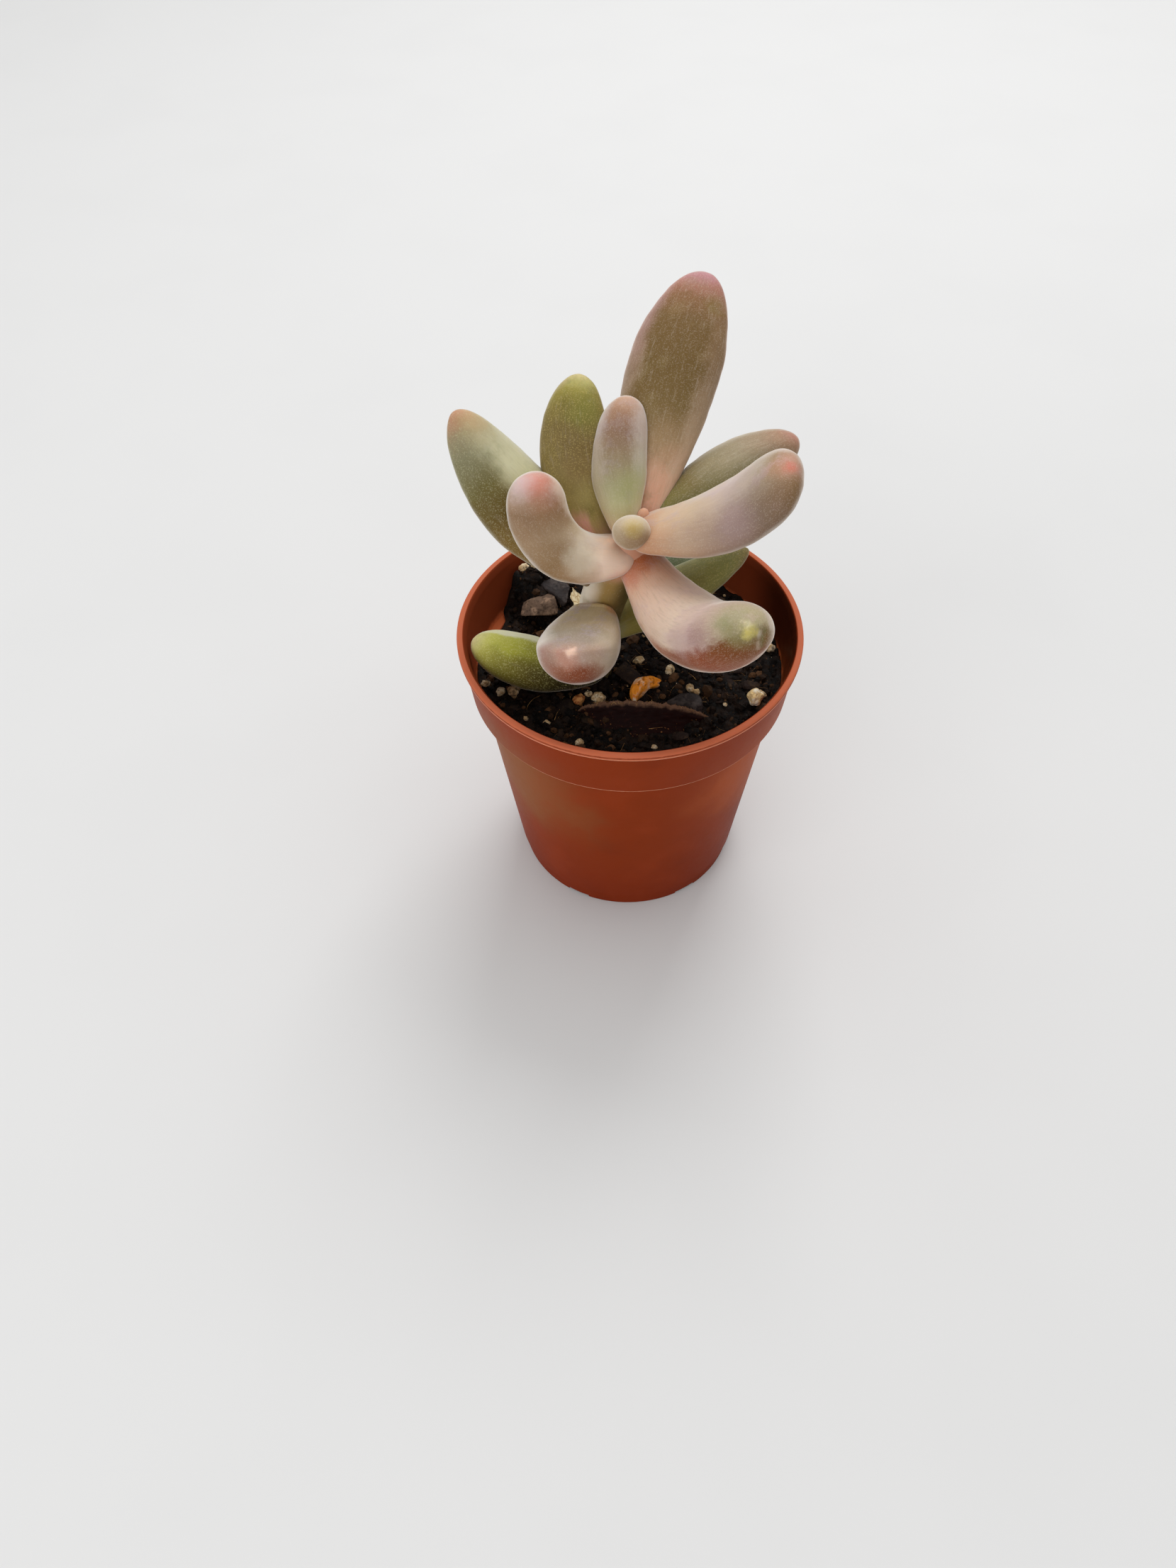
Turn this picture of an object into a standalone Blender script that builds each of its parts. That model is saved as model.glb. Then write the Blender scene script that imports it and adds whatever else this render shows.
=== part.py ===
"""A young potted pachyphytum: a small rosette of fat, powdery leaves in a 5.5 cm nursery pot.

Metres, +Z up. The origin is the centre of the pot's flat base, and -Y is the front.
Lengths are written in millimetres times MM, and angles in degrees.
"""

import bmesh
import bpy
import math
import random
from dataclasses import dataclass
from mathutils import Vector, noise

MM = 0.001
GAP = 0.32 * MM            # clearance between neighbouring pieces
SEED = 5

# Pot: an injection moulded nursery pot, its collar wider than the tapered body
POT_HEIGHT = 50.0 * MM
POT_STEPS = 44
SHARP_ANGLE = 35.0         # edges sharper than this stay crisp
WALL = 1.0 * MM
LIP_RADIUS = 27.5 * MM
LIP_HEIGHT = 1.0 * MM
COLLAR_TOP_RADIUS = 26.9 * MM
COLLAR_LOW_RADIUS = 26.0 * MM
COLLAR_HEIGHT = 9.9 * MM
BODY_TOP_RADIUS = 24.4 * MM
FOOT_RADIUS = 19.5 * MM
FOOT_STEP = 0.25 * MM      # the foot stands back from the body by this much
FOOT_HEIGHT = 3.0 * MM
FOOT_LEDGE = 0.1 * MM      # height of the ledge where the foot steps back
FLOOR = 1.5 * MM
EDGE = 0.3 * MM            # rounding of the moulding's edges
CORNER = 0.293             # depth of a round corner's middle point, as a share of its radius
DRAIN_COUNT = 6
DRAIN_SIDES = 12
DRAIN_TURN = 1.0           # heading of the first drain hole
DRAIN_RADIUS = 2.3 * MM
DRAIN_PLACE = 12.8 * MM    # from the pot's axis
CHANNEL_WIDTH = 4.0 * MM   # a shallow channel runs from each hole to the pot's edge
CHANNEL_DEPTH = 0.5 * MM
CHANNEL_SPAN = (12.0 * MM, 21.0 * MM)

# Soil: fills the pot to 8 mm below the lip, banked up against the wall at the back left
SOIL_TOP = 42.0 * MM
SOIL_ROUGHNESS = 0.45 * MM
SOIL_LUMP = 3.2 * MM       # width of the soil's lumps
SOIL_STEPS = 36
SOIL_RINGS = 7
SHELF_REST = 41.4 * MM     # underside of the soil that lies on the pot's inner shelf
BANK_HEIGHT = 5.6 * MM
BANK_INNER = 11.0 * MM
BANK_OUTER = 24.0 * MM
BANK_LEFT = 146.0          # heading of the bank's steep left side
BANK_LEFT_BLEND = 7.0
BANK_RIGHT = 75.0
BANK_RIGHT_BLEND = 35.0
BARE_SHELF = (149.0, 176.0)   # headings between which the shelf shows
BARE_SHELF_BLEND = 5.0
BARE_SHELF_EDGE = 23.65 * MM
PLUG_ROOM = 0.05 * MM      # extra room where the pot's throat is narrowest

# Stem: from below the soil up to the growing point
STEM_LINE = (
    Vector((-6.0, -1.5, 33.0)) * MM,
    Vector((-6.0, -1.5, 41.0)) * MM,
    Vector((-5.4, -1.6, 49.0)) * MM,
    Vector((-4.5, -1.8, 56.0)) * MM,
    Vector((-3.0, -1.8, 61.5)) * MM,
    Vector((-1.0, -1.6, 65.8)) * MM,
    Vector((0.3, -1.4, 68.6)) * MM,
)
STEM_RADII = tuple(radius * MM for radius in (2.9, 3.0, 3.2, 3.4, 3.6, 3.6, 2.4))
STEM_SIDES = 14
STEM_RINGS = 14
STEM_DOME = 0.9 * MM

# Leaves: the form that all of them share
LEAF_SIDES = 14
LEAF_RINGS = 12
LEAF_STEPS = 200           # steps in which a midline is walked
TIP_CROWDING = 1.7         # above 1 the rings lie closer together towards the tip
SHOULDER = 1.3             # how slowly a leaf widens from its root
DEPTH_WIDEST = 0.5         # where a leaf is thickest
DEPTH_NECK = 0.5           # thickness at the root as a share of the greatest
LOW_LEAVES = 3             # this many of the last leaves may reach into the soil


@dataclass(frozen=True)
class Leaf:
    """One fat leaf, given by its midline and by its widest section."""

    name: str
    root: tuple        # where the midline starts, in millimetres
    heading: float     # compass direction of the root, 0 at +X and 90 at +Y
    rise: float        # slope of the root above level
    sweep: float       # sideways turn from root to tip
    bend: float        # upward turn from root to tip
    length: float
    width: float
    thickness: float
    widest: float      # where the width is greatest, 0 at the root and 1 at the tip
    neck: float        # width at the root as a share of the greatest
    fullness: float    # 1 gives an elliptic tip, more a blunt one, less a pointed one
    roll: float
    colour: str


# From the growing point outwards and down the stem, so each leaf gives way to those above it
LEAVES = (
    Leaf("bud_leaf", (0.2, -1.4, 69.3), -88, 42, 0, 5, 6.3, 5.6, 5.4, 0.50, 0.70, 1.0, 0, "B5A88C"),
    Leaf("tiny_leaf", (1.5, 0.5, 70.2), 60, 62, 0, 0, 3.0, 1.9, 1.7, 0.50, 0.80, 1.1, 0, "E0A088"),
    Leaf("leaf_inner_back", (-0.9, -0.1, 68.7), 101, 46, -30, -8, 20.0, 8.1, 6.2, 0.46, 0.48, 1.7, 4,
         "B7B2A0"),
    Leaf("leaf_right", (2.5, -1.5, 70.0), -17, 15, 13, 40, 25.2, 14.0, 7.6, 0.66, 0.70, 1.7, 2, "B59E8B"),
    Leaf("leaf_left_curled", (-1.6, -2.3, 66.8), 197, -2, -83, 94, 21.9, 9.1, 8.5, 0.63, 0.90, 1.65, 1,
         "AE9B85"),
    Leaf("leaf_front_right", (1.6, -3.0, 64.9), -60, -22, 5, 78, 29.2, 13.1, 9.9, 0.50, 0.62, 2.05, 12,
         "C0A08E"),
    Leaf("leaf_tall_back", (0.9, 2.2, 66.9), 73, 44, -8, -9, 39.7, 14.3, 8.0, 0.63, 0.41, 0.9, 1, "7E6B4F"),
    Leaf("leaf_right_back", (1.2, 1.4, 65.3), 28, 26, -8, -8, 28.4, 10.8, 8.6, 0.60, 0.43, 0.9, -4,
         "8E8A78"),
    Leaf("leaf_left_back", (-3.6, 1.2, 64.4), 126, 45, -50, 3, 26.4, 10.7, 7.0, 0.50, 0.45, 1.15, 7,
         "7B7038"),
    Leaf("leaf_far_left", (-2.6, 0.1, 60.4), 167, 31, -27, 21, 34.0, 14.6, 9.3, 0.50, 0.50, 0.68, -2,
         "8F8C6A"),
    Leaf("leaf_front_stub", (-4.4, -3.0, 55.0), -110, 16, 5, 20, 19.2, 11.2, 11.6, 0.65, 0.56, 1.3, -10,
         "A09A88"),
    Leaf("leaf_low_back", (-4.5, 0.5, 53.6), 43, -2, 0, 4, 21.0, 9.0, 7.2, 0.60, 0.50, 0.9, 0, "4A5030"),
    Leaf("leaf_low_right", (-6.0, -1.4, 49.7), 15, 20, 4, 3, 27.8, 8.4, 7.2, 0.53, 0.58, 0.55, 6, "5D6338"),
    Leaf("leaf_on_soil", (-5.0, -4.1, 44.6), 187, 9, -28, 8, 21.0, 9.2, 7.6, 0.52, 0.57, 1.1, 4, "858B3C"),
)


@dataclass(frozen=True)
class Stone:
    """A stone bedded in the soil: centre and semi-axes in millimetres, and its turns in degrees."""

    name: str
    centre: tuple
    axes: tuple
    turn: float
    tilt: float
    roughness: float
    colour: str


STONES = (
    Stone("grey_stone", (-14.2, 11.2, 44.6), (3.6, 2.3, 1.7), -32, 10, 0.16, "5B4C40"),
    Stone("slate_stone", (-12.3, 15.6, 45.3), (3.4, 2.0, 1.5), -30, 6, 0.20, "322C2C"),
    Stone("orange_pumice", (1.7, -6.9, 43.0), (2.2, 1.5, 1.5), 55, 0, 0.18, "D08A3C"),
    Stone("cream_pumice", (19.2, -9.1, 43.0), (2.0, 1.4, 1.4), 20, 0, 0.18, "C9AE7E"),
    Stone("slate_chip", (9.0, -10.2, 42.6), (2.6, 1.6, 1.0), -25, 8, 0.25, "2E2B2C"),
    Stone("brown_chip", (-0.6, -3.2, 42.7), (2.4, 1.2, 1.0), -65, 5, 0.25, "241A16"),
)
STONE_LUMPS = 1.7          # lumps across a stone

# Pieces of pumice and grit that stand out of the soil: x, y and radius in millimetres
GRAINS = (
    (-21.8, -4.2, 0.7), (-20.7, -5.5, 0.9), (-19.0, -6.6, 1.5), (-16.7, -12.2, 0.9),
    (-13.5, -13.3, 1.3), (-8.4, -18.4, 0.9), (-5.4, -8.8, 1.5), (6.6, -2.3, 1.1),
    (9.8, -6.6, 1.2), (14.8, -10.0, 0.9), (12.6, -7.4, 1.2), (-8.4, -8.3, 1.0),
    (10.4, 6.0, 1.0), (15.0, 2.5, 1.2), (3.0, 14.0, 1.2), (-3.0, 9.0, 1.0),
    (8.0, -18.0, 1.1), (20.5, 4.5, 1.0), (1.0, 20.0, 1.3), (13.5, 14.0, 1.1),
)
CRUMB_COUNT = 14
CRUMB_RADII = (0.7 * MM, 1.3 * MM)
CRUMB_REACH = 21.5 * MM
CRUMB_ROOM = 0.5 * MM
GRAIN_LUMPS = 0.25
GRAIN_SINK = 0.35          # share of its radius by which a grain's centre lies under the surface

# Bark: a curved flake leaning back in the soil at the front, its convex face forward
BARK_LENGTH = 20.5 * MM
BARK_HEIGHT = 6.4 * MM
BARK_THICKNESS = 1.2 * MM
BARK_CENTRE = Vector((1.4, -13.6, 42.9)) * MM
BARK_LEAN = 46.0
BARK_TURN = -10.0
BARK_BOW = 3.0 * MM
BARK_HOLLOW = 0.5 * MM     # the long edges stand forward of the middle by this
BARK_END = 0.22            # height of the blunt ends as a share of the middle's
BARK_COLUMNS = 12
BARK_ROWS = 4

# Dry scale: the papery rest of a withered leaf on the stem's left side
SCALE_ROOT = Vector((-8.1, -0.8, 58.0)) * MM
SCALE_SIZE = (2.2 * MM, 5.2 * MM)
SCALE_THICKNESS = 0.8 * MM
SCALE_STEPS = 5
SCALE_LEAN = 0.5 * MM      # how far the lower end hangs to the left of the root
SCALE_TAPER = 0.45
SCALE_WAVE = 0.25
SCALE_CURL = 0.2 * MM
SCALE_RIPPLE = 0.14 * MM

WELD = 0.002 * MM          # points closer than this are one

TERRACOTTA = "9A4A2A"
PEAT = "1C1512"
STEM_GREEN = "A79C7A"
BARK_BROWN = "2A1713"
STRAW = "C9AE84"


def linear(hex_colour):
    """Turn an sRGB hex colour into linear RGBA."""
    channels = [int(hex_colour[i:i + 2], 16) / 255.0 for i in (0, 2, 4)]
    curve = [c / 12.92 if c <= 0.04045 else ((c + 0.055) / 1.055) ** 2.4 for c in channels]
    return (*curve, 1.0)


def smooth(value):
    """Ease from 0 to 1 as value goes from 0 to 1."""
    value = min(1.0, max(0.0, value))
    return value * value * (3.0 - 2.0 * value)


def material(name, colour, roughness):
    """Make a plain Principled material."""
    result = bpy.data.materials.new(name)
    result.use_nodes = True
    shader = result.node_tree.nodes["Principled BSDF"]
    shader.inputs["Base Color"].default_value = linear(colour)
    shader.inputs["Roughness"].default_value = roughness
    shader.inputs["Metallic"].default_value = 0.0
    return result


def mesh_object(name, bm, finish=None):
    """Turn a bmesh into an object of that name, with its normals pointing out."""
    bmesh.ops.recalc_face_normals(bm, faces=bm.faces)
    mesh = bpy.data.meshes.new(name)
    bm.to_mesh(mesh)
    bm.free()
    mesh.shade_smooth()
    if finish is not None:
        mesh.materials.append(finish)
    result = bpy.data.objects.new(name, mesh)
    bpy.context.scene.collection.objects.link(result)
    return result


def bridge(bm, lower, upper):
    """Join two closed rings of the same count with quads."""
    count = len(lower)
    for i in range(count):
        j = (i + 1) % count
        bm.faces.new((lower[i], lower[j], upper[j], upper[i]))


def cap(bm, ring, centre):
    """Close a ring with a fan round a centre point."""
    middle = bm.verts.new(centre)
    for i, vert in enumerate(ring):
        bm.faces.new((vert, ring[(i + 1) % len(ring)], middle))


def turned(profile, steps):
    """Turn a closed outline of (radius, height) round Z; its first and last points are on the axis."""
    bm = bmesh.new()
    rings = []
    for radius, height in profile[1:-1]:
        ring = []
        for i in range(steps):
            angle = 2.0 * math.pi * i / steps
            ring.append(bm.verts.new((radius * math.cos(angle), radius * math.sin(angle), height)))
        rings.append(ring)
    for lower, upper in zip(rings, rings[1:]):
        bridge(bm, lower, upper)
    cap(bm, rings[0], (0.0, 0.0, profile[0][1]))
    cap(bm, rings[-1], (0.0, 0.0, profile[-1][1]))
    return bm


def smooth_point(points, place):
    """Read a Catmull-Rom curve through the points, at place from 0 to 1."""
    spans = len(points) - 1
    i = min(int(place * spans), spans - 1)
    t = place * spans - i
    before, here = points[max(i - 1, 0)], points[i]
    there, after = points[i + 1], points[min(i + 2, spans)]
    return 0.5 * ((2.0 * here) + (there - before) * t
                  + (2.0 * before - 5.0 * here + 4.0 * there - after) * t * t
                  + (3.0 * here - before - 3.0 * there + after) * t ** 3)


def leaf_direction(leaf, place):
    """Give the midline's direction and the upper face's normal at place, 0 at the root and 1 at the tip."""
    turn = smooth(place)
    heading = math.radians(leaf.heading + leaf.sweep * turn)
    rise = math.radians(leaf.rise + leaf.bend * turn)
    along = Vector((math.cos(heading) * math.cos(rise), math.sin(heading) * math.cos(rise), math.sin(rise)))
    normal = Vector((-math.cos(heading) * math.sin(rise), -math.sin(heading) * math.sin(rise),
                     math.cos(rise)))
    return along, normal


def leaf_midline(leaf, places):
    """Walk along the midline and give a point for each place."""
    points = []
    here = Vector(leaf.root) * MM
    walked = 0
    for place in places:
        while walked < round(place * LEAF_STEPS):
            along, _ = leaf_direction(leaf, (walked + 0.5) / LEAF_STEPS)
            here = here + along * (leaf.length * MM / LEAF_STEPS)
            walked += 1
        points.append(here.copy())
    return points


def swelling(place, widest, neck, fullness):
    """Give a leaf's half size at place as a share of its greatest."""
    if place < widest:
        return neck + (1.0 - neck) * math.sin(0.5 * math.pi * place / widest) ** SHOULDER
    closing = (place - widest) / (1.0 - widest)
    return math.sqrt(max(0.0, 1.0 - closing ** (2.0 * fullness)))


def leaf_places(rings):
    """Spread the rings along a leaf, closer together towards the round tip."""
    return [1.0 - (1.0 - i / (rings - 1)) ** TIP_CROWDING for i in range(rings - 1)]


def leaf_body(leaf, grow=0.0):
    """Build one leaf, grown outwards by grow where it is to cut its neighbours."""
    bm = bmesh.new()
    places = leaf_places(LEAF_RINGS)
    points = leaf_midline(leaf, places + [1.0])
    roll = math.radians(leaf.roll)
    rings = []
    for place, point in zip(places, points):
        along, normal = leaf_direction(leaf, place)
        across = along.cross(normal)
        side = across * math.cos(roll) + normal * math.sin(roll)
        face = normal * math.cos(roll) - across * math.sin(roll)
        half_width = 0.5 * leaf.width * MM * swelling(place, leaf.widest, leaf.neck, leaf.fullness)
        half_depth = 0.5 * leaf.thickness * MM * swelling(place, DEPTH_WIDEST, DEPTH_NECK,
                                                             leaf.fullness)
        start = -along * grow if not rings else Vector()
        ring = []
        for i in range(LEAF_SIDES):
            angle = 2.0 * math.pi * i / LEAF_SIDES
            ring.append(bm.verts.new(point + start + side * (half_width + grow) * math.cos(angle)
                                     + face * (half_depth + grow) * math.sin(angle)))
        rings.append(ring)
    for lower, upper in zip(rings, rings[1:]):
        bridge(bm, lower, upper)
    first_along, _ = leaf_direction(leaf, 0.0)
    last_along, _ = leaf_direction(leaf, 1.0)
    cap(bm, rings[0], points[0] - first_along * grow)
    cap(bm, rings[-1], points[-1] + last_along * grow)
    return bm


def stem_body(grow=0.0):
    """Build the stem as a tube with a domed top, grown outwards by grow for cutting."""
    bm = bmesh.new()
    rings = []
    for k in range(STEM_RINGS):
        place = k / (STEM_RINGS - 1)
        point = smooth_point(STEM_LINE, place)
        above = smooth_point(STEM_LINE, min(1.0, place + 0.01))
        ahead = above - smooth_point(STEM_LINE, max(0.0, place - 0.01))
        turn = Vector((0.0, 0.0, 1.0)).rotation_difference(ahead)
        radius = smooth_point(STEM_RADII, place) + grow
        ring = []
        for i in range(STEM_SIDES):
            angle = 2.0 * math.pi * i / STEM_SIDES
            spoke = Vector((radius * math.cos(angle), radius * math.sin(angle), 0.0))
            spoke.rotate(turn)
            ring.append(bm.verts.new(point + spoke))
        rings.append(ring)
    for lower, upper in zip(rings, rings[1:]):
        bridge(bm, lower, upper)
    tip = (STEM_LINE[-1] - STEM_LINE[-2]).normalized()
    cap(bm, rings[0], STEM_LINE[0] - Vector((0.0, 0.0, grow)))
    cap(bm, rings[-1], STEM_LINE[-1] + tip * (STEM_DOME + grow))
    return bm


def stone_body(stone, grow=0.0):
    """Build a stone as a lumpy ellipsoid."""
    bm = bmesh.new()
    bmesh.ops.create_icosphere(bm, subdivisions=2, radius=1.0)
    turn, tilt = math.radians(stone.turn), math.radians(stone.tilt)
    for vert in bm.verts:
        lump = 1.0 + stone.roughness * noise.noise(vert.co * STONE_LUMPS + Vector(stone.centre))
        point = Vector([vert.co[i] * (stone.axes[i] * MM * lump + grow) for i in range(3)])
        point = Vector((point.x * math.cos(tilt) - point.z * math.sin(tilt), point.y,
                        point.x * math.sin(tilt) + point.z * math.cos(tilt)))
        vert.co = Vector((point.x * math.cos(turn) - point.y * math.sin(turn),
                          point.x * math.sin(turn) + point.y * math.cos(turn), point.z))
        vert.co += Vector(stone.centre) * MM
    return bm


def bark_body(grow=0.0):
    """Build the bark flake: a bowed plate with a pointed oval outline, leaning back."""
    bm = bmesh.new()
    lean, turn = math.radians(BARK_LEAN), math.radians(BARK_TURN)
    faces = []
    for offset in (-0.5 * BARK_THICKNESS - grow, 0.5 * BARK_THICKNESS + grow):
        grid = []
        for i in range(BARK_COLUMNS + 1):
            along = -1.0 + 2.0 * i / BARK_COLUMNS
            half = 0.5 * BARK_HEIGHT * (BARK_END + (1.0 - BARK_END) * math.sqrt(1.0 - along * along))
            column = []
            for j in range(BARK_ROWS + 1):
                up = -1.0 + 2.0 * j / BARK_ROWS
                x = along * (0.5 * BARK_LENGTH + grow)
                z = up * (half + grow)
                y = BARK_BOW * along * along - BARK_HOLLOW * up * up + offset
                point = Vector((x, y * math.cos(lean) + z * math.sin(lean),
                                z * math.cos(lean) - y * math.sin(lean)))
                point = Vector((point.x * math.cos(turn) - point.y * math.sin(turn),
                                point.x * math.sin(turn) + point.y * math.cos(turn), point.z))
                column.append(bm.verts.new(point + BARK_CENTRE))
            grid.append(column)
        faces.append(grid)
    front, back = faces
    for i in range(BARK_COLUMNS):
        for j in range(BARK_ROWS):
            bm.faces.new((front[i][j], front[i + 1][j], front[i + 1][j + 1], front[i][j + 1]))
            bm.faces.new((back[i][j], back[i][j + 1], back[i + 1][j + 1], back[i + 1][j]))
        for j in (0, BARK_ROWS):
            bm.faces.new((front[i][j], back[i][j], back[i + 1][j], front[i + 1][j]))
    for i in (0, BARK_COLUMNS):
        for j in range(BARK_ROWS):
            bm.faces.new((front[i][j], front[i][j + 1], back[i][j + 1], back[i][j]))
    return bm


def scale_body():
    """Build the dry scale: a small curled tongue that hangs against the stem."""
    bm = bmesh.new()
    width, height = SCALE_SIZE
    columns = rows = SCALE_STEPS
    sheets = []
    for offset in (-0.5 * SCALE_THICKNESS, 0.5 * SCALE_THICKNESS):
        grid = []
        for j in range(rows + 1):
            down = j / rows
            half = 0.5 * width * (1.0 - SCALE_TAPER * down) * (1.0 + SCALE_WAVE * math.sin(7.0 * down))
            row = []
            for i in range(columns + 1):
                across = -1.0 + 2.0 * i / columns
                curl = SCALE_CURL * across * across + SCALE_RIPPLE * math.sin(5.0 * down + 2.0 * across)
                row.append(bm.verts.new(SCALE_ROOT + Vector((-SCALE_LEAN * down + curl + offset,
                                                             half * across, -height * down))))
            grid.append(row)
        sheets.append(grid)
    front, back = sheets
    for j in range(rows):
        for i in range(columns):
            bm.faces.new((front[j][i], front[j][i + 1], front[j + 1][i + 1], front[j + 1][i]))
            bm.faces.new((back[j][i], back[j + 1][i], back[j + 1][i + 1], back[j][i + 1]))
        for i in (0, columns):
            bm.faces.new((front[j][i], front[j + 1][i], back[j + 1][i], back[j][i]))
    for j in (0, rows):
        for i in range(columns):
            bm.faces.new((front[j][i], back[j][i], back[j][i + 1], front[j][i + 1]))
    return bm


def wall_radius(height):
    """Give the collar's inner radius at a height above the shelf."""
    shelf = POT_HEIGHT - COLLAR_HEIGHT + WALL
    share = (height - shelf) / (POT_HEIGHT - LIP_HEIGHT - shelf)
    return COLLAR_LOW_RADIUS - WALL + share * (COLLAR_TOP_RADIUS - COLLAR_LOW_RADIUS)


def soil_height(x, y):
    """Give the soil's height at a point: level, lumpy, and banked up at the back left."""
    radius = math.hypot(x, y)
    heading = math.degrees(math.atan2(y, x)) % 360.0
    out = smooth((radius - BANK_INNER) / (BANK_OUTER - BANK_INNER))
    left = smooth((BANK_LEFT - heading) / BANK_LEFT_BLEND)
    right = smooth((heading - BANK_RIGHT) / BANK_RIGHT_BLEND)
    lumps = noise.noise(Vector((x, y, SEED * MM)) / SOIL_LUMP)
    return SOIL_TOP + BANK_HEIGHT * out * left * right + SOIL_ROUGHNESS * lumps


def soil_edge(heading, height):
    """Give the radius to which the soil reaches, less where the pot's shelf is bare."""
    low, high = BARE_SHELF
    bare = smooth((heading - low) / BARE_SHELF_BLEND) * smooth((high - heading) / BARE_SHELF_BLEND)
    return (wall_radius(height) - GAP) * (1.0 - bare) + BARE_SHELF_EDGE * bare


def soil_body():
    """Build the soil: a plug that fits the pot and lies on its shelf, with a lumpy top."""
    bm = bmesh.new()
    neck = BODY_TOP_RADIUS - WALL - GAP - PLUG_ROOM
    foot = FOOT_RADIUS - WALL - GAP
    steps = range(SOIL_STEPS)
    angles = [2.0 * math.pi * i / SOIL_STEPS for i in steps]
    base = [bm.verts.new((foot * math.cos(a), foot * math.sin(a), FLOOR + GAP)) for a in angles]
    throat = [bm.verts.new((neck * math.cos(a), neck * math.sin(a), SHELF_REST)) for a in angles]
    heights = [soil_height(BANK_OUTER * math.cos(a), BANK_OUTER * math.sin(a)) for a in angles]
    edges = [soil_edge(math.degrees(a), h) for a, h in zip(angles, heights)]
    lows = [soil_edge(math.degrees(a), SHELF_REST) for a in angles]
    flange = [bm.verts.new((r * math.cos(a), r * math.sin(a), SHELF_REST)) for a, r in zip(angles, lows)]
    bridge(bm, base, throat)
    bridge(bm, throat, flange)
    outer = flange
    for k in range(SOIL_RINGS):
        share = 1.0 - k / SOIL_RINGS
        ring = []
        for angle, edge in zip(angles, edges):
            radius = edge * share
            x, y = radius * math.cos(angle), radius * math.sin(angle)
            ring.append(bm.verts.new((x, y, soil_height(x, y))))
        bridge(bm, outer, ring)
        outer = ring
    cap(bm, outer, (0.0, 0.0, soil_height(0.0, 0.0)))
    cap(bm, base, (0.0, 0.0, FLOOR + GAP))
    return bm


def grain_body(x, y, radius):
    """Build one grain of grit, sunk into the soil's surface."""
    bm = bmesh.new()
    bmesh.ops.create_icosphere(bm, subdivisions=1, radius=radius)
    centre = Vector((x, y, soil_height(x, y) - radius * GRAIN_SINK))
    for vert in bm.verts:
        vert.co *= 1.0 + GRAIN_LUMPS * noise.noise(vert.co / radius + centre / MM)
        vert.co += centre
    return bm


def cutter(name, bm):
    """Make an object that only cuts others."""
    tool = mesh_object(name, bm)
    tool.hide_render = True
    tool.display_type = "WIRE"
    return tool


def drop_scraps(obj):
    """Keep the largest body of a mesh and remove loose scraps."""
    bm = bmesh.new()
    bm.from_mesh(obj.data)
    bmesh.ops.remove_doubles(bm, verts=bm.verts, dist=WELD)
    bmesh.ops.dissolve_degenerate(bm, edges=bm.edges, dist=WELD)
    left = set(bm.verts)
    groups = []
    while left:
        group = set()
        queue = [left.pop()]
        while queue:
            vert = queue.pop()
            group.add(vert)
            for edge in vert.link_edges:
                other = edge.other_vert(vert)
                if other in left:
                    left.discard(other)
                    queue.append(other)
        groups.append(group)
    biggest = max(groups, key=len)
    bmesh.ops.delete(bm, geom=[v for v in bm.verts if v not in biggest], context="VERTS")
    bm.to_mesh(obj.data)
    bm.free()


def apply_boolean(obj, tools, operation):
    """Cut the tools from the object, or join them to it, and remove them."""
    group = bpy.data.collections.new("tools_of_" + obj.name)
    for tool in tools:
        group.objects.link(tool)
    modifier = obj.modifiers.new("Boolean", "BOOLEAN")
    modifier.operand_type = "COLLECTION"
    modifier.collection = group
    modifier.operation = operation
    modifier.solver = "EXACT"
    finished = bpy.data.meshes.new_from_object(obj.evaluated_get(bpy.context.evaluated_depsgraph_get()))
    obj.modifiers.remove(modifier)
    old = obj.data
    obj.data = finished
    finished.name = obj.name
    bpy.data.meshes.remove(old)
    for tool in tools:
        bpy.data.objects.remove(tool, do_unlink=True)
    bpy.data.collections.remove(group)
    drop_scraps(obj)


def prism(bm, outline, low, high):
    """Add an upright prism over an outline."""
    lower = [bm.verts.new((point.x, point.y, low)) for point in outline]
    upper = [bm.verts.new((point.x, point.y, high)) for point in outline]
    bridge(bm, lower, upper)
    bm.faces.new(list(reversed(lower)))
    bm.faces.new(upper)


def drain_frame(number):
    """Give the outward and the sideways direction of one drain hole."""
    angle = math.radians(DRAIN_TURN + 360.0 * number / DRAIN_COUNT)
    return Vector((math.cos(angle), math.sin(angle), 0.0)), Vector((-math.sin(angle), math.cos(angle), 0.0))


def drain_holes():
    """Build what the round holes take out of the floor."""
    bm = bmesh.new()
    for number in range(DRAIN_COUNT):
        outward, aside = drain_frame(number)
        outline = []
        for i in range(DRAIN_SIDES):
            turn = 2.0 * math.pi * i / DRAIN_SIDES
            outline.append(outward * (DRAIN_PLACE + DRAIN_RADIUS * math.cos(turn))
                           + aside * DRAIN_RADIUS * math.sin(turn))
        prism(bm, outline, -FLOOR, 2.0 * FLOOR)
    return bm


def drain_channels():
    """Build what the shallow channels take out of the underside, from each hole to the edge."""
    bm = bmesh.new()
    inner, outer = CHANNEL_SPAN
    for number in range(DRAIN_COUNT):
        outward, aside = drain_frame(number)
        half = 0.5 * CHANNEL_WIDTH * aside
        outline = [outward * inner - half, outward * outer - half,
                   outward * outer + half, outward * inner + half]
        prism(bm, outline, -FLOOR, CHANNEL_DEPTH)
    return bm


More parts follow.
